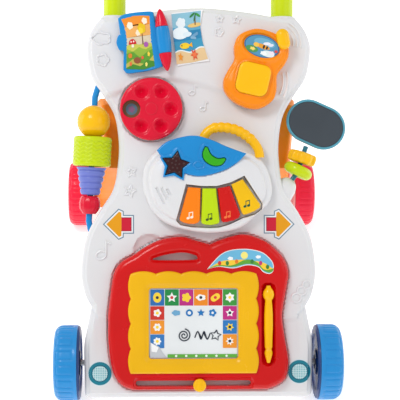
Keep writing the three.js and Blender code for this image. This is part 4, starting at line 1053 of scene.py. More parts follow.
def build_dial():
    top_z = DIAL_LOW + DIAL_THICK

    def face(p, d):
        r = np.hypot(p[:, 0] - DIAL_AT[0], p[:, 1] - DIAL_AT[1])
        z = top_z + rounded(DIAL_R - r, 3.4)
        z = z - 0.5 * hump(r - 37.4, 0.7)
        for deg in (0, 60, 120, 240, 300):
            x, y = dial_spot(deg)
            q = np.hypot(p[:, 0] - x, p[:, 1] - y)
            t = np.clip(q / DIMPLE_CUP, 0, 1)
            z = z - 8.6 * (1 - t) ** 0.9 * (1 - 0.25 * t) - 1.0 * (1 - smooth((q - DIMPLE_CUP + 1.0) / 3.0))
            z = z - 0.35 * hump(q - DIMPLE_R, 0.5)
        x, y = dial_spot(180)
        q = np.hypot(p[:, 0] - x, p[:, 1] - y)
        z = z + rounded(np.maximum(q - DIMPLE_R, 0), 1.2) * (q < DIMPLE_R + 2)
        return z
    hole = arc(*dial_spot(180), DIMPLE_R, count=64)
    bore = arc(*DIAL_AT, 5.0, count=32)
    rings = [arc(*dial_spot(deg), r, count=72) for deg in (0, 60, 120, 240, 300)
             for r in (DIMPLE_R + 0.8, DIMPLE_R, DIMPLE_R - 0.8, 9.8, 9.0, 8.6, 8.2, 7.6, 6.8, 5.8, 4.8,
                       3.8, 2.8, 1.8, 0.9)]
    verts, faces = relief(arc(*DIAL_AT, DIAL_R, count=160), face, DIAL_LOW, 3.4, [hole, bore], spacing=1.3,
                          hole_radius=1.2, extra=rings)
    mesh_piece("dial_disc", verts, faces, PANEL, "dial_wheel", CRIMSON, ["dial"], sharp=42)
    cap, faces = revolve([(4.2, -9), (4.4, top_z + 0.2), (7.9, top_z + 0.3), (7.7, top_z + 0.7),
                          (6.8, top_z + 0.95), (0, top_z + 1.05)], 40)
    cap = cap + np.array((*DIAL_AT, 0))
    mesh_piece("dial_cap", cap, faces, PANEL, "walker", CRIMSON, ["dial_pivot"], sharp=45)
    sectors = []
    colours = ((120, 96, 56), (206, 160, 70), (90, 130, 150), (190, 96, 60), (140, 100, 140), (206, 186, 150))
    for i, colour in enumerate(colours):
        start = 150 + 60 * i
        wedge = np.vstack([[DIAL_AT], arc(*DIAL_AT, DIAL_R - 2.2, start=start, end=start + 60, count=14)])
        sectors.append((wedge, colour))
    for i, colour in enumerate(colours):
        x, y = dial_spot(180 + 60 * i)
        sectors.append((arc(x, y, 7.5, count=20), colours[(i + 2) % 6]))
        sectors.append((flower(x, y, 4.6), colours[(i + 4) % 6]))
    artwork("dial_scene", sectors, PANEL, "walker", 0.75, ["dial_picture"], layer=0.02, thick=0.3)


# ---------------------------------------------------------------- piano
PIANO_TOP = 24.0
STAR_AT = (-31.0, 302.5)
LEAF = np.vstack([run([(-55, 321), (-40, 333), (-10, 340), (14, 335), (35, 326), (60, 317)]),
                  run([(60, 317), (49, 306), (30, 295), (1, 288), (-25, 294), (-47, 311), (-55, 321)])[1:-1]])
MOON = np.vstack([run([(7, 325.5), (3.6, 316.5), (6.6, 307.5), (17, 301.4), (28, 302.6), (33.4, 309.4)]),
                  run([(31.6, 311.2), (22.5, 310.6), (14.5, 315.6), (10, 324.6)])])
KEY_BED = np.array([(-17, 277), (3, 274.8), (22, 274.8), (40, 279.5), (57.5, 288), (81, 252), (80.2, 245.5),
                    (72, 239.5),
                    (56, 234.5), (40, 226.8), (26, 222.6), (13, 222), (-9.5, 222.9), (-24, 225.5),
                    (-29.5, 231.5)], float)
KEYS = (("orange", [(-15, 274), (1.6, 273), (0.6, 231.5), (-1.6, 228.2), (-7, 226.4), (-14, 226.6),
                    (-21, 228.4),
                    (-25.2, 231), (-25.8, 234)], moulded("key_orange_plastic", srgb(255, 130, 2)),
                    (-11, 238), (250, 236, 214)),
        ("lime", [(3.4, 272.5), (21.4, 272.5), (26, 231), (24.6, 227.4), (19, 225.6), (13, 225), (7, 225.6),
                  (2.6, 227.4), (1.9, 231)], moulded("key_lime_plastic", srgb(190, 220, 0)), (13.5, 236),
                  (60, 84, 20)),
        ("red", [(22.8, 272.5), (39, 275.6), (52.6, 238.5), (50.6, 234.6), (44, 231.2), (36, 229.2),
                 (30, 228.6),
                 (28, 230.8)], moulded("key_red_plastic", srgb(208, 8, 4)), (37, 239), (240, 120, 60)),
        ("yellow", [(40.6, 277.5), (55.6, 284.4), (78.4, 251.5), (77.6, 247.4), (70, 242.6), (62, 239.4),
                    (57, 238.2),
                    (54.6, 240)], moulded("key_yellow_plastic", srgb(242, 190, 0)), (62, 253), (10, 84, 60)))
KEY_TOP = 22.2


def build_piano():
    well = resample(anticlockwise(inset(KEY_BED, -0.5)), 1.5)
    star_hole = star(*STAR_AT, 19.4, 10.9, 81)
    moon_hole = inset(MOON, -1.3)
    slots = [rounded_box(x, y, 3.2, 2 * half, 1.5, 28, 5) for x, y, half in
             ((-50, 263, 12), (-44.5, 265.5, 8.5), (-39.6, 268, 4.6))]

    def face(p, d):
        outer = distance_to(p, anticlockwise(PIANO))
        z = PIANO_TOP - 8.5 + rounded(outer, 6.0) + 5.5 * smooth((outer - 7.5) / 3.6)
        z = z + 3.0 * smooth((outer - 10) / 14)
        hole = np.min([distance_to(p, h) for h in (well, star_hole, moon_hole)], axis=0)
        z = z + rounded(hole, 0.9)
        for slot in slots:
            z = z - 2.6 * smooth((depth_in(p, slot) + 0.5) / 1.0)
        cut_under = inside(p, inset(LEAF, -0.6))
        return np.where(cut_under, np.minimum(z, PIANO_TOP - 2.0), z)
    verts, faces = relief(PIANO, face, 0.35, 8.0, [well, star_hole, moon_hole], spacing=1.6, hole_radius=0.9)
    floor = plate(inset(KEY_BED, 0.3), 3.2, 9.0, 0.3, spacing=6)
    verts, faces = merge([(verts, faces), floor])
    mesh_piece("piano_housing", verts, faces, PANEL, "piano", WHITE, ["piano_shell", "piano_base"],
               sharp=40)

    star_cut = star(*STAR_AT, 18.8, 10.1, 81)
    moon_cut = inset(MOON, -0.7)

    def leaf_face(p, d):
        outer = distance_to(p, anticlockwise(LEAF))
        hole = np.minimum(distance_to(p, star_cut), distance_to(p, moon_cut))
        z = PIANO_TOP + 3.0 - 1.2 + 1.2 * smooth(outer / 16) + rounded(outer, 2.2)
        z = z + 0.8 * hump(hole - 1.9, 0.9) - 0.7 * hump(hole - 4.4, 0.9)
        z = z + rounded(hole, 0.6)
        return z
    verts, faces = relief(LEAF, leaf_face, PIANO_TOP - 1.6, 2.2, [star_cut, moon_cut], spacing=1.5,
                          hole_radius=0.6)
    border = star(*STAR_AT, 22.6, 14.0, 81)

    def border_face(p, d):
        return PIANO_TOP + 3.3 + rounded(d, 1.8)
    ring = relief(border, border_face, PIANO_TOP - 1.6, 1.8, [star_cut], spacing=1.5, edge_step=1.0,
                  hole_radius=0.6)
    verts, faces = merge([(verts, faces), ring, ridge(cloud(-1, 302, 6.4), PIANO_TOP + 2.9, 0.9)])
    mesh_piece("leaf_top", verts, faces, PANEL, "piano", BLUE, ["leaf_cover"], sharp=40)

    def lit(p, d):
        return PIANO_TOP + 4.6 + rounded(d, 1.6) - 0.8 + 0.8 * smooth(d / 6)
    for name, outline, material, slot, node in (
            ("star_lens", star(*STAR_AT, 17.8, 9.4, 81), MAROON, "maroon", "star"),
            ("moon_lens", inset(MOON, 0.1), GREEN, "green", "moon")):
        verts, faces = relief(outline, lit, PIANO_TOP - 9, 1.6, (), spacing=1.2, edge_step=1.0)
        if name == "star_lens":
            bead_ring, dot = revolve([(0, -0.4), (1.5, -0.3), (1.1, 0.5), (0, 0.8)], 14)
            spots = [(0.0, 0.0)] + [(r * math.cos(a), r * math.sin(a)) for r, n in ((5.0, 5), (10.6, 5))
                                    for a in np.radians(81) + np.arange(n) * 2 * math.pi / n]
            verts, faces = merge([(verts, faces)] + [
                (bead_ring + (STAR_AT[0] + x, STAR_AT[1] + y, PIANO_TOP + 4.5), dot) for x, y in spots])
        mesh_piece(name, verts, faces, PANEL, node, material, [node + "_button"], sharp=40)

    for name, outline, material, (x, y), colour in KEYS:
        rounded_outline = resample(inset(np.array(outline, float), 0.1), 1.0)

        def key_face(p, d):
            return KEY_TOP + rounded(d, 2.2) - 0.5 + 0.5 * smooth(d / 6)
        verts, faces = relief(rounded_outline, key_face, KEY_TOP - 9, 2.2, (), spacing=1.4, edge_step=1.0)
        mesh_piece("piano_" + name + "_key", verts, faces, PANEL, name + "_key", material,
                   ["key_" + name], sharp=50)
        stem = [(x + 1.6, y - 2.4), (x + 2.6, y - 2.4), (x + 2.6, y + 4.6), (x - 3.0, y + 3.4),
                (x - 3.0, y - 3.6), (x - 2.0, y - 3.6), (x - 2.0, y + 2.4), (x + 1.6, y + 3.2)]
        artwork("print_on_" + name + "_key", [(stem, colour),
                                              (arc(x + 0.9, y - 2.6, 2.2, 1.6, count=14, turn=20), colour),
                                              (arc(x - 3.7, y - 3.8, 2.2, 1.6, count=14, turn=20), colour)],
                PANEL, name + "_key", KEY_TOP + 0.03, layer=0.01, thick=0.1)
    build_piano_handle()
    for name, body_colour in (("circuit_board", GREEN), ("speaker", GREY)):
        node = frame["nodes"][name]
        node.data.materials.clear()
        node.data.materials.append(body_colour)


def build_piano_handle():
    points = [(3, 326, 12), (7, 341, 12), (20, 350.5, 12), (44, 349, 12), (64, 338, 12), (76, 323, 12),
              (78, 306, 12)]
    path = run(points, 14)
    travel = np.concatenate([[0], np.cumsum(np.linalg.norm(np.diff(path, axis=0), axis=1))])
    share = travel / travel[-1]
    radii = np.full(len(path), 6.0)
    grip = smooth((share - 0.24) / 0.03) * (1 - smooth((share - 0.74) / 0.03))
    radii += grip * (-0.7 + 1.7 * np.abs(np.sin(math.pi * (share - 0.24) / 0.5 * 7)) ** 0.7)
    clear = np.array([not inside(p[None, :2], inset(PIANO, 0.2))[0] for p in path])
    first, last = np.flatnonzero(clear)[[0, -1]]
    verts, faces = sweep(path[first:last + 1], np.minimum(radii[first:last + 1], 7.0), 28)
    mesh_piece("piano_grip", verts, faces, PANEL, "piano", YELLOW, ["piano_handle"], sharp=50)


# ---------------------------------------------------------------- drawing board
BOARD_LOW = -3.65
BOARD_TOP = 14.35
WINDOW = rounded_box(-7.5, 98.5, 113, 89, 3)
GROOVE = rounded_box(89.3, 97, 17, 107, 8)
LENS = loop([(-59, 180), (-46, 186), (-23, 189.5), (-8, 187), (-3, 184), (-8, 180)], 5)
SLOT_AT = (-7.5, 20.5)
TROUGH = rounded_box(-7.5, 20.8, 155, 15, 5)


def scalloped_frame():
    x0, x1, y0, y1 = -88.4, 73.4, 34.0, 162.4
    points = []

    def side(a, b, lobes, out):
        a, b, out = np.array(a, float), np.array(b, float), np.array(out, float)
        for t in np.linspace(0, 1, 14 * lobes, endpoint=False):
            points.append(a + (b - a) * t + out * 3.4 * abs(math.sin(math.pi * lobes * t)) ** 0.8)
    side((x1, y0), (x1, y1), 4, (1, 0))
    side((x1, y1), (x0, y1), 5, (0, 1))
    side((x0, y1), (x0, y0), 4, (-1, 0))
    points.append(np.array((x0, y0)))
    return np.array(points)


FRAME_EDGE = scalloped_frame()


def build_board():
    outer = BOARD
    slot = rounded_box(*SLOT_AT, 149, 7.5, 3.4)

    def face(p, d):
        edge = distance_to(p, anticlockwise(outer))
        z = BOARD_TOP + rounded(edge, 9.0)
        groove = depth_in(p, GROOVE)
        z = z - 6.6 * np.sqrt(1 - (1 - np.clip(groove / 7.0, 0, 1)) ** 2) * (groove > 0)
        z = z + 0.6 * hump(groove + 1.4, 1.0)
        slot_d = distance_to(p, slot)
        trough = depth_in(p, TROUGH)
        z = z - 3.2 * smooth((trough + 0.8) / 2.4) + rounded(slot_d, 0.7)
        lens_d = distance_to(p, LENS)
        z = z - 5.0 * (1 - smooth(lens_d / 7.5)) ** 2
        return z
    window = inset(WINDOW, -1.0)
    verts, faces = relief(outer, face, BOARD_LOW, 9.0, [window, slot, LENS], spacing=1.9, edge_step=1.6,
                          hole_radius=0.8)
    mesh_piece("board_body", verts, faces, PANEL, "board", RED, ["board_case", "board_back"], sharp=38)

    def frame_face(p, d):
        window_d = distance_to(p, window)
        outer_d = distance_to(p, FRAME_EDGE)
        z = BOARD_TOP + 4.5 + rounded(outer_d, 3.4)
        z = z - 3.0 * (1 - smooth(window_d / 8.5))
        return z
    verts, faces = relief(FRAME_EDGE, frame_face, BOARD_TOP + 0.2, 3.4, [window], spacing=1.9, edge_step=1.5,
                          hole_radius=0.6)
    mesh_piece("board_bezel", verts, faces, PANEL, "board", FRAME_YELLOW, ["board_frame"], sharp=40)
    build_screen()
    build_slider()
    build_stylus()
    build_crescent()


def build_crescent():
    """A curved landscape picture above the screen: sky, hills, sun and little trees."""
    upper = run([(9.5, 168), (30.4, 189.2), (56.2, 194.4), (80, 190.4), (93, 179.7), (96.2, 171.7)])
    lower = run([(96.2, 171.7), (95, 165), (90, 162), (82, 164.7), (76, 170.7), (62, 173.3), (44, 169.3),
                 (24.4, 171.3), (9.5, 168)])[1:-1]
    edge = np.vstack([upper, lower])

    def mix(share):
        """A line between the lower and the upper edge of the crescent."""
        t = np.linspace(0.02, 0.98, 24)
        high = np.column_stack([np.interp(t, np.linspace(0, 1, len(upper)), upper[:, k]) for k in (0, 1)])
        back = lower[::-1]
        low = np.column_stack([np.interp(t, np.linspace(0, 1, len(back)), back[:, k]) for k in (0, 1)])
        return low + (high - low) * np.broadcast_to(np.asarray(share, float).reshape(-1, 1) if np.ndim(share)
                                                    else share, (len(t), 1))
    wavy = 0.42 + 0.1 * np.sin(np.linspace(0, 11, 24))
    wavy2 = 0.26 + 0.1 * np.sin(np.linspace(2, 16, 24))
    shapes = [(edge, (238, 240, 238)), (inset(edge, 0.9), (110, 186, 222)),
              (np.vstack([mix(wavy), mix(0.08)[::-1]]), (250, 208, 60)),
              (np.vstack([mix(wavy2), mix(0.08)[::-1]]), (96, 168, 56)),
              (arc(58, 186, 4.6, count=20), (250, 236, 130)), (cloud(40, 182, 3.2), (246, 250, 252)),
              (cloud(76, 184, 3.0), (246, 250, 252))]
    shapes += [(arc(x, y, 2.2, 2.9, count=14), colour) for x, y, colour in
               ((26, 176, (210, 60, 50)), (36, 176, (58, 130, 60)), (48, 178, (236, 130, 40)),
                (68, 178, (58, 130, 60)), (79, 176, (196, 60, 120)), (88, 171, (58, 130, 60)))]
    artwork("crescent_sticker", shapes, PANEL, "board", BOARD_TOP + 0.16, layer=0.02, thick=0.2)


TOP_TILES = ((40, 110, 180), (30, 140, 70), (190, 40, 130), (240, 140, 30), (206, 40, 40), (60, 150, 60))
LEFT_TILES = ((206, 50, 40), (240, 150, 40), (50, 120, 190))
RIGHT_TILES = ((190, 40, 130), (40, 120, 190), (240, 150, 40))


def build_screen():
    back, faces = plate(inset(WINDOW, -1.6), BOARD_TOP - 4.0, BOARD_TOP - 0.75, 0.3, spacing=9)
    mesh_piece("screen_sheet", back, faces, PANEL, "board", SCREEN_GREY, ["drawing_screen"],
               sharp=30)
    x0, x1, y0, y1 = -63.6, 48.6, 54.4, 142.6
    width, high, row = (x1 - x0) / 6, 21.6, 18.2
    white, yellow, dark = (246, 246, 244), (250, 214, 60), (40, 50, 70)
    shapes = [(rounded_box((x0 + x1) / 2, (y0 + y1) / 2, x1 - x0, y1 - y0, 0.8), (232, 236, 238))]

    def tile(x, y, w, h, colour, icon, icon_colour, spot):
        shapes.append((rounded_box(x, y, w - 0.7, h - 0.7, 0.6), colour))
        shapes.append((icon, icon_colour))
        shapes.append((arc(x, y, 2.0, count=12), spot))
    y = y1 - high / 2
    for i, colour in enumerate(TOP_TILES):
        x = x0 + width * (i + 0.5)
        icon = (arc(x, y, 5.4, 6.6, count=22), star(x, y, 7, 3.4), flower(x, y, 6.2),
                np.array(cloud(x, y, 5.6)), stadium(x, y, 13, 8, 35, 8), star(x, y, 6.6, 4.4, 90, 6))[i]
        tile(x, y, width, high, colour, icon, (yellow, white)[i % 2], (dark, (214, 60, 60), yellow)[i % 3])
    for i in range(3):
        y = y1 - high - row * (i + 0.5)
        tile(x0 + width / 2, y, width, row, LEFT_TILES[i], flower(x0 + width / 2, y, 5.2, 5 + i), white,
             yellow)
        tile(x1 - width / 2, y, width, row, RIGHT_TILES[i], star(x1 - width / 2, y, 5.6, 3, 90 + 20 * i, 5
                + i), (white, yellow, white)[i], dark)
    blue, ink_blue = (30, 120, 190), (36, 44, 60)
    shapes += [(cloud(-30, 112, 5.0), (110, 170, 210)), (arc(-13, 112, 4.6, count=20), blue),
               (star(2, 112, 5.2, 2.4), blue),
               (flower(17, 112, 5.0), blue), (arc(17, 112, 1.6, count=12), white),
               (arc(-13, 112, 2.2, count=14), white)]
    spiral = [(-20 + r * math.cos(a), 83 + r * math.sin(a)) for a,
              r in zip(np.linspace(0, 14, 50), np.linspace(1, 8.5, 50))]
    doodles = [spiral, run([(-6, 80), (-2, 88), (2, 78), (6, 88), (10, 78), (14, 86)]),
               np.vstack([star(21, 83, 7, 3.4, 80), star(21, 83, 7, 3.4, 80)[:1]])]
    for line in doodles:
        line = np.asarray(line, float)
        step = np.gradient(line, axis=0)
        step = step / np.linalg.norm(step, axis=1)[:, None]
        side = np.column_stack([-step[:, 1], step[:, 0]]) * 0.75
        shapes.append((np.vstack([line + side, (line - side)[::-1]]), ink_blue))
    shapes.append((np.array([(-41, y0), (x1, y0), (x1, y0 + 4.4), (-41, y0 + 4.4)]), (96, 176, 62)))
    for i in range(6):
        shapes.append((arc(-30 + 13 * i, y0 + 2.2, 1.5, count=12), white))
    shapes.append((np.array([(x0, y0), (x0 + 22, y0), (x0 + 17, y0 + 6), (x0 + 12, y0 + 14), (x0, y0 + 20)]),
                   (196, 200, 206)))
    shapes.append((np.array([(x0 + 1.5, y0 + 19), (x0 + 11, y0 + 13), (x0 + 8.5, y0 + 7), (x0 + 2, y0 + 8)]),
                   (246, 247, 248)))
    artwork("screen_print", shapes, PANEL, "board", BOARD_TOP - 0.3, layer=0.012, thick=0.2)


def build_slider():
    centre = (0.3, 18.9)
    knob = arc(*centre, 8.4, count=48)

    def face(p, d):
        z = BOARD_TOP + 7.0 + rounded(d, 3.4)
        x = p[:, 0] - centre[0]
        return z - 1.3 * smooth((np.abs(x) - 1.6) / 1.2) * smooth((d - 0.8) / 1.5)
    parts = [relief(knob, face, BOARD_TOP + 0.35, 3.4, (), spacing=0.9, edge_step=1.0)]
    parts.append(plate(rounded_box(centre[0], 20.5, 9, 5.6, 1), 3.6, BOARD_TOP + 0.6, 0.2))
    parts.append(plate(rounded_box(centre[0], 52, 9.4, 69, 1.2), 2.4, 6.6, 0.6))
    verts, faces = merge(parts)
    mesh_piece("eraser_slider", verts, faces, PANEL, "eraser", YELLOW, ["eraser_slider"], sharp=40)


def build_stylus():
    u = 89.3
    profile = [(0, 0), (1.4, 0.2), (2.2, 1.0), (3.0, 4), (4.7, 10.0), (5.3, 13), (4.4, 16.4), (3.7, 17.8),
               (4.4, 19.2), (5.0, 21), (5.1, 30), (5.7, 44), (5.6, 62), (5.0, 74), (4.4, 79), (4.6, 81.5),
               (6.0, 83.5), (7.0, 86.4), (7.2, 89), (6.6, 92.4), (4.8, 95.4), (3.4, 97.0), (2.9, 98.6),
               (2.2, 99.8), (0, 100)]
    verts, faces = revolve(profile, 40)
    verts = np.column_stack([verts[:, 0] + u, verts[:, 2] + 47.0, BOARD_TOP - verts[:, 1]])
    mesh_piece("stylus_pen", verts, faces, PANEL, "pen", YELLOW, ["stylus"], sharp=45)


# ---------------------------------------------------------------- bead rod
BEAD_W = -20.0
BEAD_LOW = (-143.8, 230.0)
BEAD_HIGH = (-135.8, 392.0)
BEAD_RISE = (BEAD_HIGH[0] - BEAD_LOW[0], BEAD_HIGH[1] - BEAD_LOW[1])
BEAD_ROD_R = 4.0
BEAD_BORE = 4.7
BALL_R = 21.6
ROLLER_HALF, ROLLER_R, ROLLER_EDGE = 19.5, 25.0, 3.5
BELLOWS_HALF, BELLOWS_FOLDS = 18.0, 4.5


def along_rod(v):
    """The bead rod's middle at a height v up the panel."""
    return BEAD_LOW[0] + BEAD_RISE[0] * (v - BEAD_LOW[1]) / BEAD_RISE[1]


def bead(name, node, body, material, v, profile, count=64, radial=None, sharp=45):
    verts, faces = revolve(profile, count, radial)
    tilt = Vector((*BEAD_RISE, 0.0)).normalized()
    turn = Vector((0, 0, 1)).rotation_difference(tilt).to_matrix()
    verts = verts @ np.array(turn).T + np.array((along_rod(v), v, BEAD_W))
    return mesh_piece(name, verts, faces, PANEL, body, material, [node], sharp=sharp)


def build_beads():
    low = run([(-136.5, 206), (-141.5, 218), BEAD_LOW], 8)
    high = run([BEAD_HIGH, (-132.5, 403), (-128.5, 414)], 8)
    path = np.vstack([low, high])
    verts, faces = sweep(np.column_stack([path, np.full(len(path), BEAD_W)]), BEAD_ROD_R, 24)
    mesh_piece("bead_rail", verts, faces, PANEL, "walker", BLUE, ["bead_rod"], sharp=50)
    bore, r = BEAD_BORE, BALL_R
    half = math.sqrt(r * r - bore * bore)
    reach = math.acos(bore / r)
    ball = [(bore, -half)]
    ball += [(r * math.cos(a), r * math.sin(a)) for a in np.linspace(-reach, reach, 46)[1:-1]]
    ball += [(bore, half)]
    ball = [(q - 0.35 * math.exp(-(h / 0.7) ** 2), h) for q, h in ball] + [(bore, -half)]
    bead("ball_shell", "ball_bead", "ball", YELLOW, 360.0, ball, 72)
    half, top, edge = ROLLER_HALF, ROLLER_R, ROLLER_EDGE
    side = [(top - edge + edge * math.sin(math.radians(a)), half - edge + edge * math.cos(math.radians(a)))
            for a in (0, 25, 50, 75, 90)]
    body = [(q, h) for q, h in side] + [(top, h) for h in np.linspace(half - 4.5, -half + 4.5, 70)]
    body += [(q, -h) for q, h in reversed(side)]

    def zigzag(angle, height):
        if abs(height) > half - 4.4:
            return 1.0
        sway = abs(((angle * 14 / math.pi) % 2.0) - 1.0)
        wave = abs(((height / 5.2 + 0.5 * sway) % 1.0) - 0.5) * 2
        return 1.0 - 0.055 * (1 - wave) ** 1.5 * min(1.0, (half - 4.4 - abs(height)) / 1.5)
    bead("roller_shell", "roller_bead", "roller", LIME, 320.9,
         [(bore, half - 4.2), (9.5, half - 4.0), (11.4, half - 2.2), (12.6, half)] + body + [
             (13, -half), (12, -half + 0.8), (bore, -half + 0.8), (bore, half - 4.2)], 280, zigzag, 50)
    half = BELLOWS_HALF
    bellows = [(bore, -half), (11.4, -half)]
    for h in np.linspace(-half, half, 90):
        t = (h + half) / (2 * half)
        bellows.append((12.4 + 7.0 * t - 2.0 + 2.1 * abs(math.sin(math.pi * BELLOWS_FOLDS * t)) ** 0.6, h))
    bellows += [(18, half), (bore, half), (bore, -half)]
    bead("bellows_shell", "bellows_bead", "bellows", PURPLE, 282.0, bellows, 72, None, 30)
    cup = [(bore, -12.2), (8.3, -12.2), (9.4, -11.0), (11.6, -8), (13.1, -5), (13.8, -1.5), (13.9, 2),
           (13.3, 5.2), (12.4, 8), (10.9, 10.2), (9.4, 11.4), (bore, 11.4), (bore, -12.2)]

    def flutes(angle, height):
        return 1.0 - 0.035 * (1 - abs(math.cos(6 * angle))) * (1 if -11.6 < height < 9.6 else 0)
    bead("cup_shell", "cup_bead", "cup", CRIMSON, 251.5, cup, 120, flutes, 45)


# ---------------------------------------------------------------- mirror stalk
STALK = [(114, 272), (122, 282), (131.5, 296), (137, 313), (142.2, 328.2)]


def stalk_path():
    path = run(STALK, 12)
    return np.column_stack([path, np.full(len(path), BEAD_W)])


def on_stalk(joint, profile, count, radial=None):
    """A turned part round the spinner stalk, placed by its joint."""
    verts, faces = revolve(profile, count, radial)
    return verts, faces, axis_frame(joint)


def build_spinner():
    verts, faces = sweep(stalk_path(), 3.2, 24)
    mesh_piece("stalk_wire", verts, faces, PANEL, "walker", TEAL, ["mirror_stalk"], sharp=50)
    tube = [(12.0 + 7.4 * math.cos(a), 7.4 * math.sin(a)) for a in np.linspace(0, 2 * math.pi, 41)]
    tube = [(max(q, 5.4), h) for q, h in tube]
    verts, faces, place = on_stalk("donut_spin", tube, 72)
    mesh_piece("donut_ring_shell", verts, faces, place, "donut", LIME, ["donut_ring"], sharp=60)

    def lobes(angle, height):
        return 1.0 + 0.085 * math.cos(9 * angle)
    cog = [(5.4, -7.4), (13, -7.4), (15.4, -6.8), (17.0, -5), (17.5, -2), (17.5, 2), (17.0, 5), (15.4, 6.8),
           (13, 7.4), (9.5, 7.4), (9, 6.6), (5.4, 6.6), (5.4, -7.4)]
    verts, faces, place = on_stalk("gear_spin", cog, 180, lobes)
    verts = verts.copy()
    bore = np.hypot(verts[:, 0], verts[:, 1]) < 6.2
    radius = np.hypot(verts[bore, 0], verts[bore, 1])
    verts[bore, :2] *= (5.4 / radius)[:, None]
    mesh_piece("gear_shell", verts, faces, place, "gear", YELLOW, ["gear_ring"], sharp=45)
    build_mirror()


MIRROR_AT = (155.0, 357.0)
MIRROR_TURN = -24.0


def build_mirror():
    outline = stadium(*MIRROR_AT, 80, 57, MIRROR_TURN)
    hole = inset(outline, 2.9)

    def rim(p, d):
        outer = distance_to(p, anticlockwise(outline))
        return -16.0 + rounded(outer, 2.4)
    verts, faces = relief(outline, rim, -17.6, 1.5, [hole], spacing=1.5, edge_step=1.6, hole_radius=0.5)
    back = frame_of(-RIGHT, UP, -OUT, PANEL_ORIGIN - OUT * MM * 20.0)
    flipped = outline * (-1, 1)

    def back_face(p, d):
        outer = distance_to(p, anticlockwise(flipped))
        r = np.hypot(p[:, 0] + MIRROR_AT[0], p[:, 1] - MIRROR_AT[1])
        z = 4.0 + rounded(outer, 3.0) - 0.7 * hump(outer - 8, 1.1)
        return z - 0.5 * hump(r - 13, 1.0)
    shell, shell_faces = relief(flipped, back_face, -2.4, 3.0, (), spacing=2.0, edge_step=1.8)
    m = np.array(PANEL.inverted() @ back)
    shell = shell @ m[:3, :3].T + m[:3, 3]
    verts, faces = merge([(verts, faces), (shell, shell_faces)])
    mesh_piece("mirror_shell", verts, faces, PANEL, "mirror", MIRROR_BLUE, ["mirror_frame"], sharp=40)
    plate_verts, plate_faces = plate(inset(outline, 3.2), -17.5, -16.35, 0.5, spacing=5, crown=0.25, reach=24)
    mesh_piece("mirror_glass", plate_verts, plate_faces, PANEL, "mirror", MIRROR,
               ["mirror_plate"], sharp=30)


# ---------------------------------------------------------------- stickers
def sticker_arrow(side):
    """An arrow that points outwards, in five printed layers: two outlines, the tail's two and the head."""
    tip, join, tail, grow = -120.12, -100.62, -88.4, 0.78
    tail_low, tail_high = 217.75, 234.0

    def mirror(points):
        return [(side * x, y) for x, y in points]
    corners = [(tip, 225.94), (-103.74, 242.32), (-100.88, 241.02)]
    far_corners = [(-100.88, 210.86), (-103.74, 209.56)]
    head = mirror(corners + [(join, tail_high), (join, tail_low)] + far_corners)
    tail_shape = mirror([(join, tail_high), (tail, tail_high), (tail, tail_low), (join, tail_low)])
    whole = mirror(corners + [(join, tail_high + grow), (tail + grow, tail_high + grow),
                              (tail + grow, tail_low - grow), (join, tail_low - grow)] + far_corners)
    return [(inset(whole, -3.2), (104, 134, 156)), (inset(whole, -1.9), (236, 240, 242)),
            (inset(tail_shape, -0.9), (150, 20, 56)), (tail_shape, (206, 14, 50)), (head, (232, 158, 6))]


def sticker(name, shapes, body, height, lift=0.18, step=3.0):
    """Printed stickers that follow the moulded face under them."""
    verts, faces, slots, materials = [], [], [], []
    base = 0
    for outline, colour in shapes:
        material = ink(*colour)
        if material not in materials:
            materials.append(material)

        def top(p, d, i=materials.index(material)):
            return height(p) + lift + 0.08 * i

        v, f = relief(np.array(outline, float), top, 0.0, 0.05, (), spacing=step, edge_step=2.0)
        n_top = len(v)
        low = v[:, 2] == 0.0
        v[low, 2] = height(v[low, :2]) - 0.3
        verts.append(v)
        faces += [tuple(k + base for k in face) for face in f]
        slots += [materials.index(material)] * len(f)
        base += n_top
    return mesh_piece(name, np.vstack(verts), faces, PANEL, body, materials, (), slots, sharp=20)


def on_panel(p):
    return panel_height(p, distance_to(p, OUTLINE))


def build_stickers():
    sticker("arrow_sticker_left", sticker_arrow(1), "walker", on_panel)
    sticker("arrow_sticker_right", sticker_arrow(-1), "walker", on_panel)
    for name, x, y in (("lamp_sticker_left", -128.4, 32.4), ("lamp_sticker_right", 131.0, 33.8)):
        rings = [(arc(x, y, 15.8, count=48), (206, 232, 238)), (arc(x, y, 15.0, count=48), (20, 124, 144)),
                 (arc(x, y, 11.0, count=44), (8, 84, 110)), (arc(x, y, 10.0, count=44), (110, 186, 196))]
        for k in np.arange(-8, 8.1, 2.3):
            reach = math.sqrt(9.8 ** 2 - k * k)
            rings.append(([(x + k - 0.35, y - reach), (x + k + 0.35, y - reach), (x + k + 0.35, y + reach),
                           (x + k - 0.35, y + reach)], (222, 240, 242)))
            rings.append(([(x - reach, y + k - 0.35), (x + reach, y + k - 0.35), (x + reach, y + k + 0.35),
                           (x - reach, y + k + 0.35)], (222, 240, 242)))
        sticker(name, rings, "walker", on_panel, step=1.1)


# ---------------------------------------------------------------- carried-over CAD nodes
def dress(node, material):
    mesh = frame["nodes"][node].data
    mesh.materials.clear()
    mesh.materials.append(material)


def build_plain_parts():
    for node in ("front_axle", "rear_left_axle", "rear_right_axle", "hinge_pin"):
        dress(node, STEEL)


# ---------------------------------------------------------------- studio
FLOOR_GLOW = 0.5
SKY_STRENGTH = 0.62
SOFT_LIGHTS = (("key", (-0.8, -0.5, 1.7), 0.55, 13.0), ("fill", (1.3, -0.9, 1.2), 1.0, 2.5),
               ("low_left", (-1.3, 0.3, 0.3), 0.8, 3.0), ("low_right", (1.3, 0.3, 0.3), 0.8, 3.0))


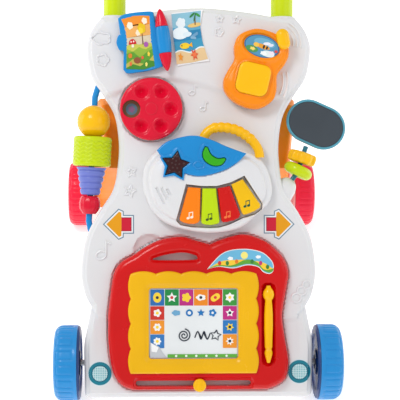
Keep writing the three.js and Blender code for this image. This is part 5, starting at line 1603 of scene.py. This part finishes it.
def plain(name, colour, roughness):
    material = moulded(name, colour, roughness=roughness, grain=0.02, tint=0.004, coat=0.0, wear=0.0)
    shader = material.node_tree.nodes["Principled BSDF"]
    shader.inputs["Emission Color"].default_value = (1.0, 1.0, 1.0, 1.0)
    shader.inputs["Emission Strength"].default_value = FLOOR_GLOW
    return material


def studio():
    bpy.ops.mesh.primitive_plane_add(size=14, location=(0, 0, 0))
    floor = bpy.context.object
    floor.name = "studio_floor"
    floor.data.materials.append(plain("studio_white", srgb(250, 250, 250), 0.6))
    world = bpy.data.worlds.new("studio_world")
    bpy.context.scene.world = world
    world.use_nodes = True
    background = world.node_tree.nodes["Background"]
    background.inputs["Color"].default_value = (1.0, 1.0, 1.0, 1.0)
    background.inputs["Strength"].default_value = SKY_STRENGTH
    centre = Vector((0.0, 0.0, 0.25))
    for name, offset, size, power in SOFT_LIGHTS:
        light = bpy.data.lights.new(name, "AREA")
        light.shape = "SQUARE"
        light.size = size
        light.energy = power
        lamp = bpy.data.objects.new(name, light)
        bpy.context.scene.collection.objects.link(lamp)
        lamp.location = centre + Vector(offset)
        lamp.rotation_euler = (centre - lamp.location).to_track_quat("-Z", "Y").to_euler()


VIEW_WIDTH = 0.52
DISTANCE = 1.6
SENSOR = 36.0
SIDE_ANGLE = math.radians(2.2)


def camera():
    data = bpy.data.cameras.new("camera")
    eye = bpy.data.objects.new("camera", data)
    bpy.context.scene.collection.objects.link(eye)
    data.sensor_width = SENSOR
    data.lens = SENSOR * DISTANCE / VIEW_WIDTH
    look = (-OUT * math.cos(SIDE_ANGLE) + RIGHT * math.sin(SIDE_ANGLE)).normalized()
    target = PANEL_ORIGIN + MM * (1.3 * RIGHT + 257.4 * UP)
    across = look.cross(UP).normalized()
    turn = Matrix((across, across.cross(look), -look)).transposed()
    eye.location = target - look * DISTANCE
    eye.rotation_euler = turn.to_euler()
    bpy.context.scene.camera = eye
    bpy.context.scene.view_settings.view_transform = "Standard"


for step in (build_panel, build_back, build_handle, build_book, build_phone, build_dial, build_piano,
             build_board, build_beads, build_spinner, build_stickers, build_plain_parts, studio, camera):
    step()
for leg_name, leg_side in (("left_leg", -1), ("right_leg", 1)):
    build_leg(leg_name, leg_side)
for leg_side, word in ((-1, "left"), (1, "right")):
    build_wheel("front", word, leg_side, WHEEL_BLUE, NAVY)
    build_wheel("rear", word, leg_side, WHEEL_RED, PINK)
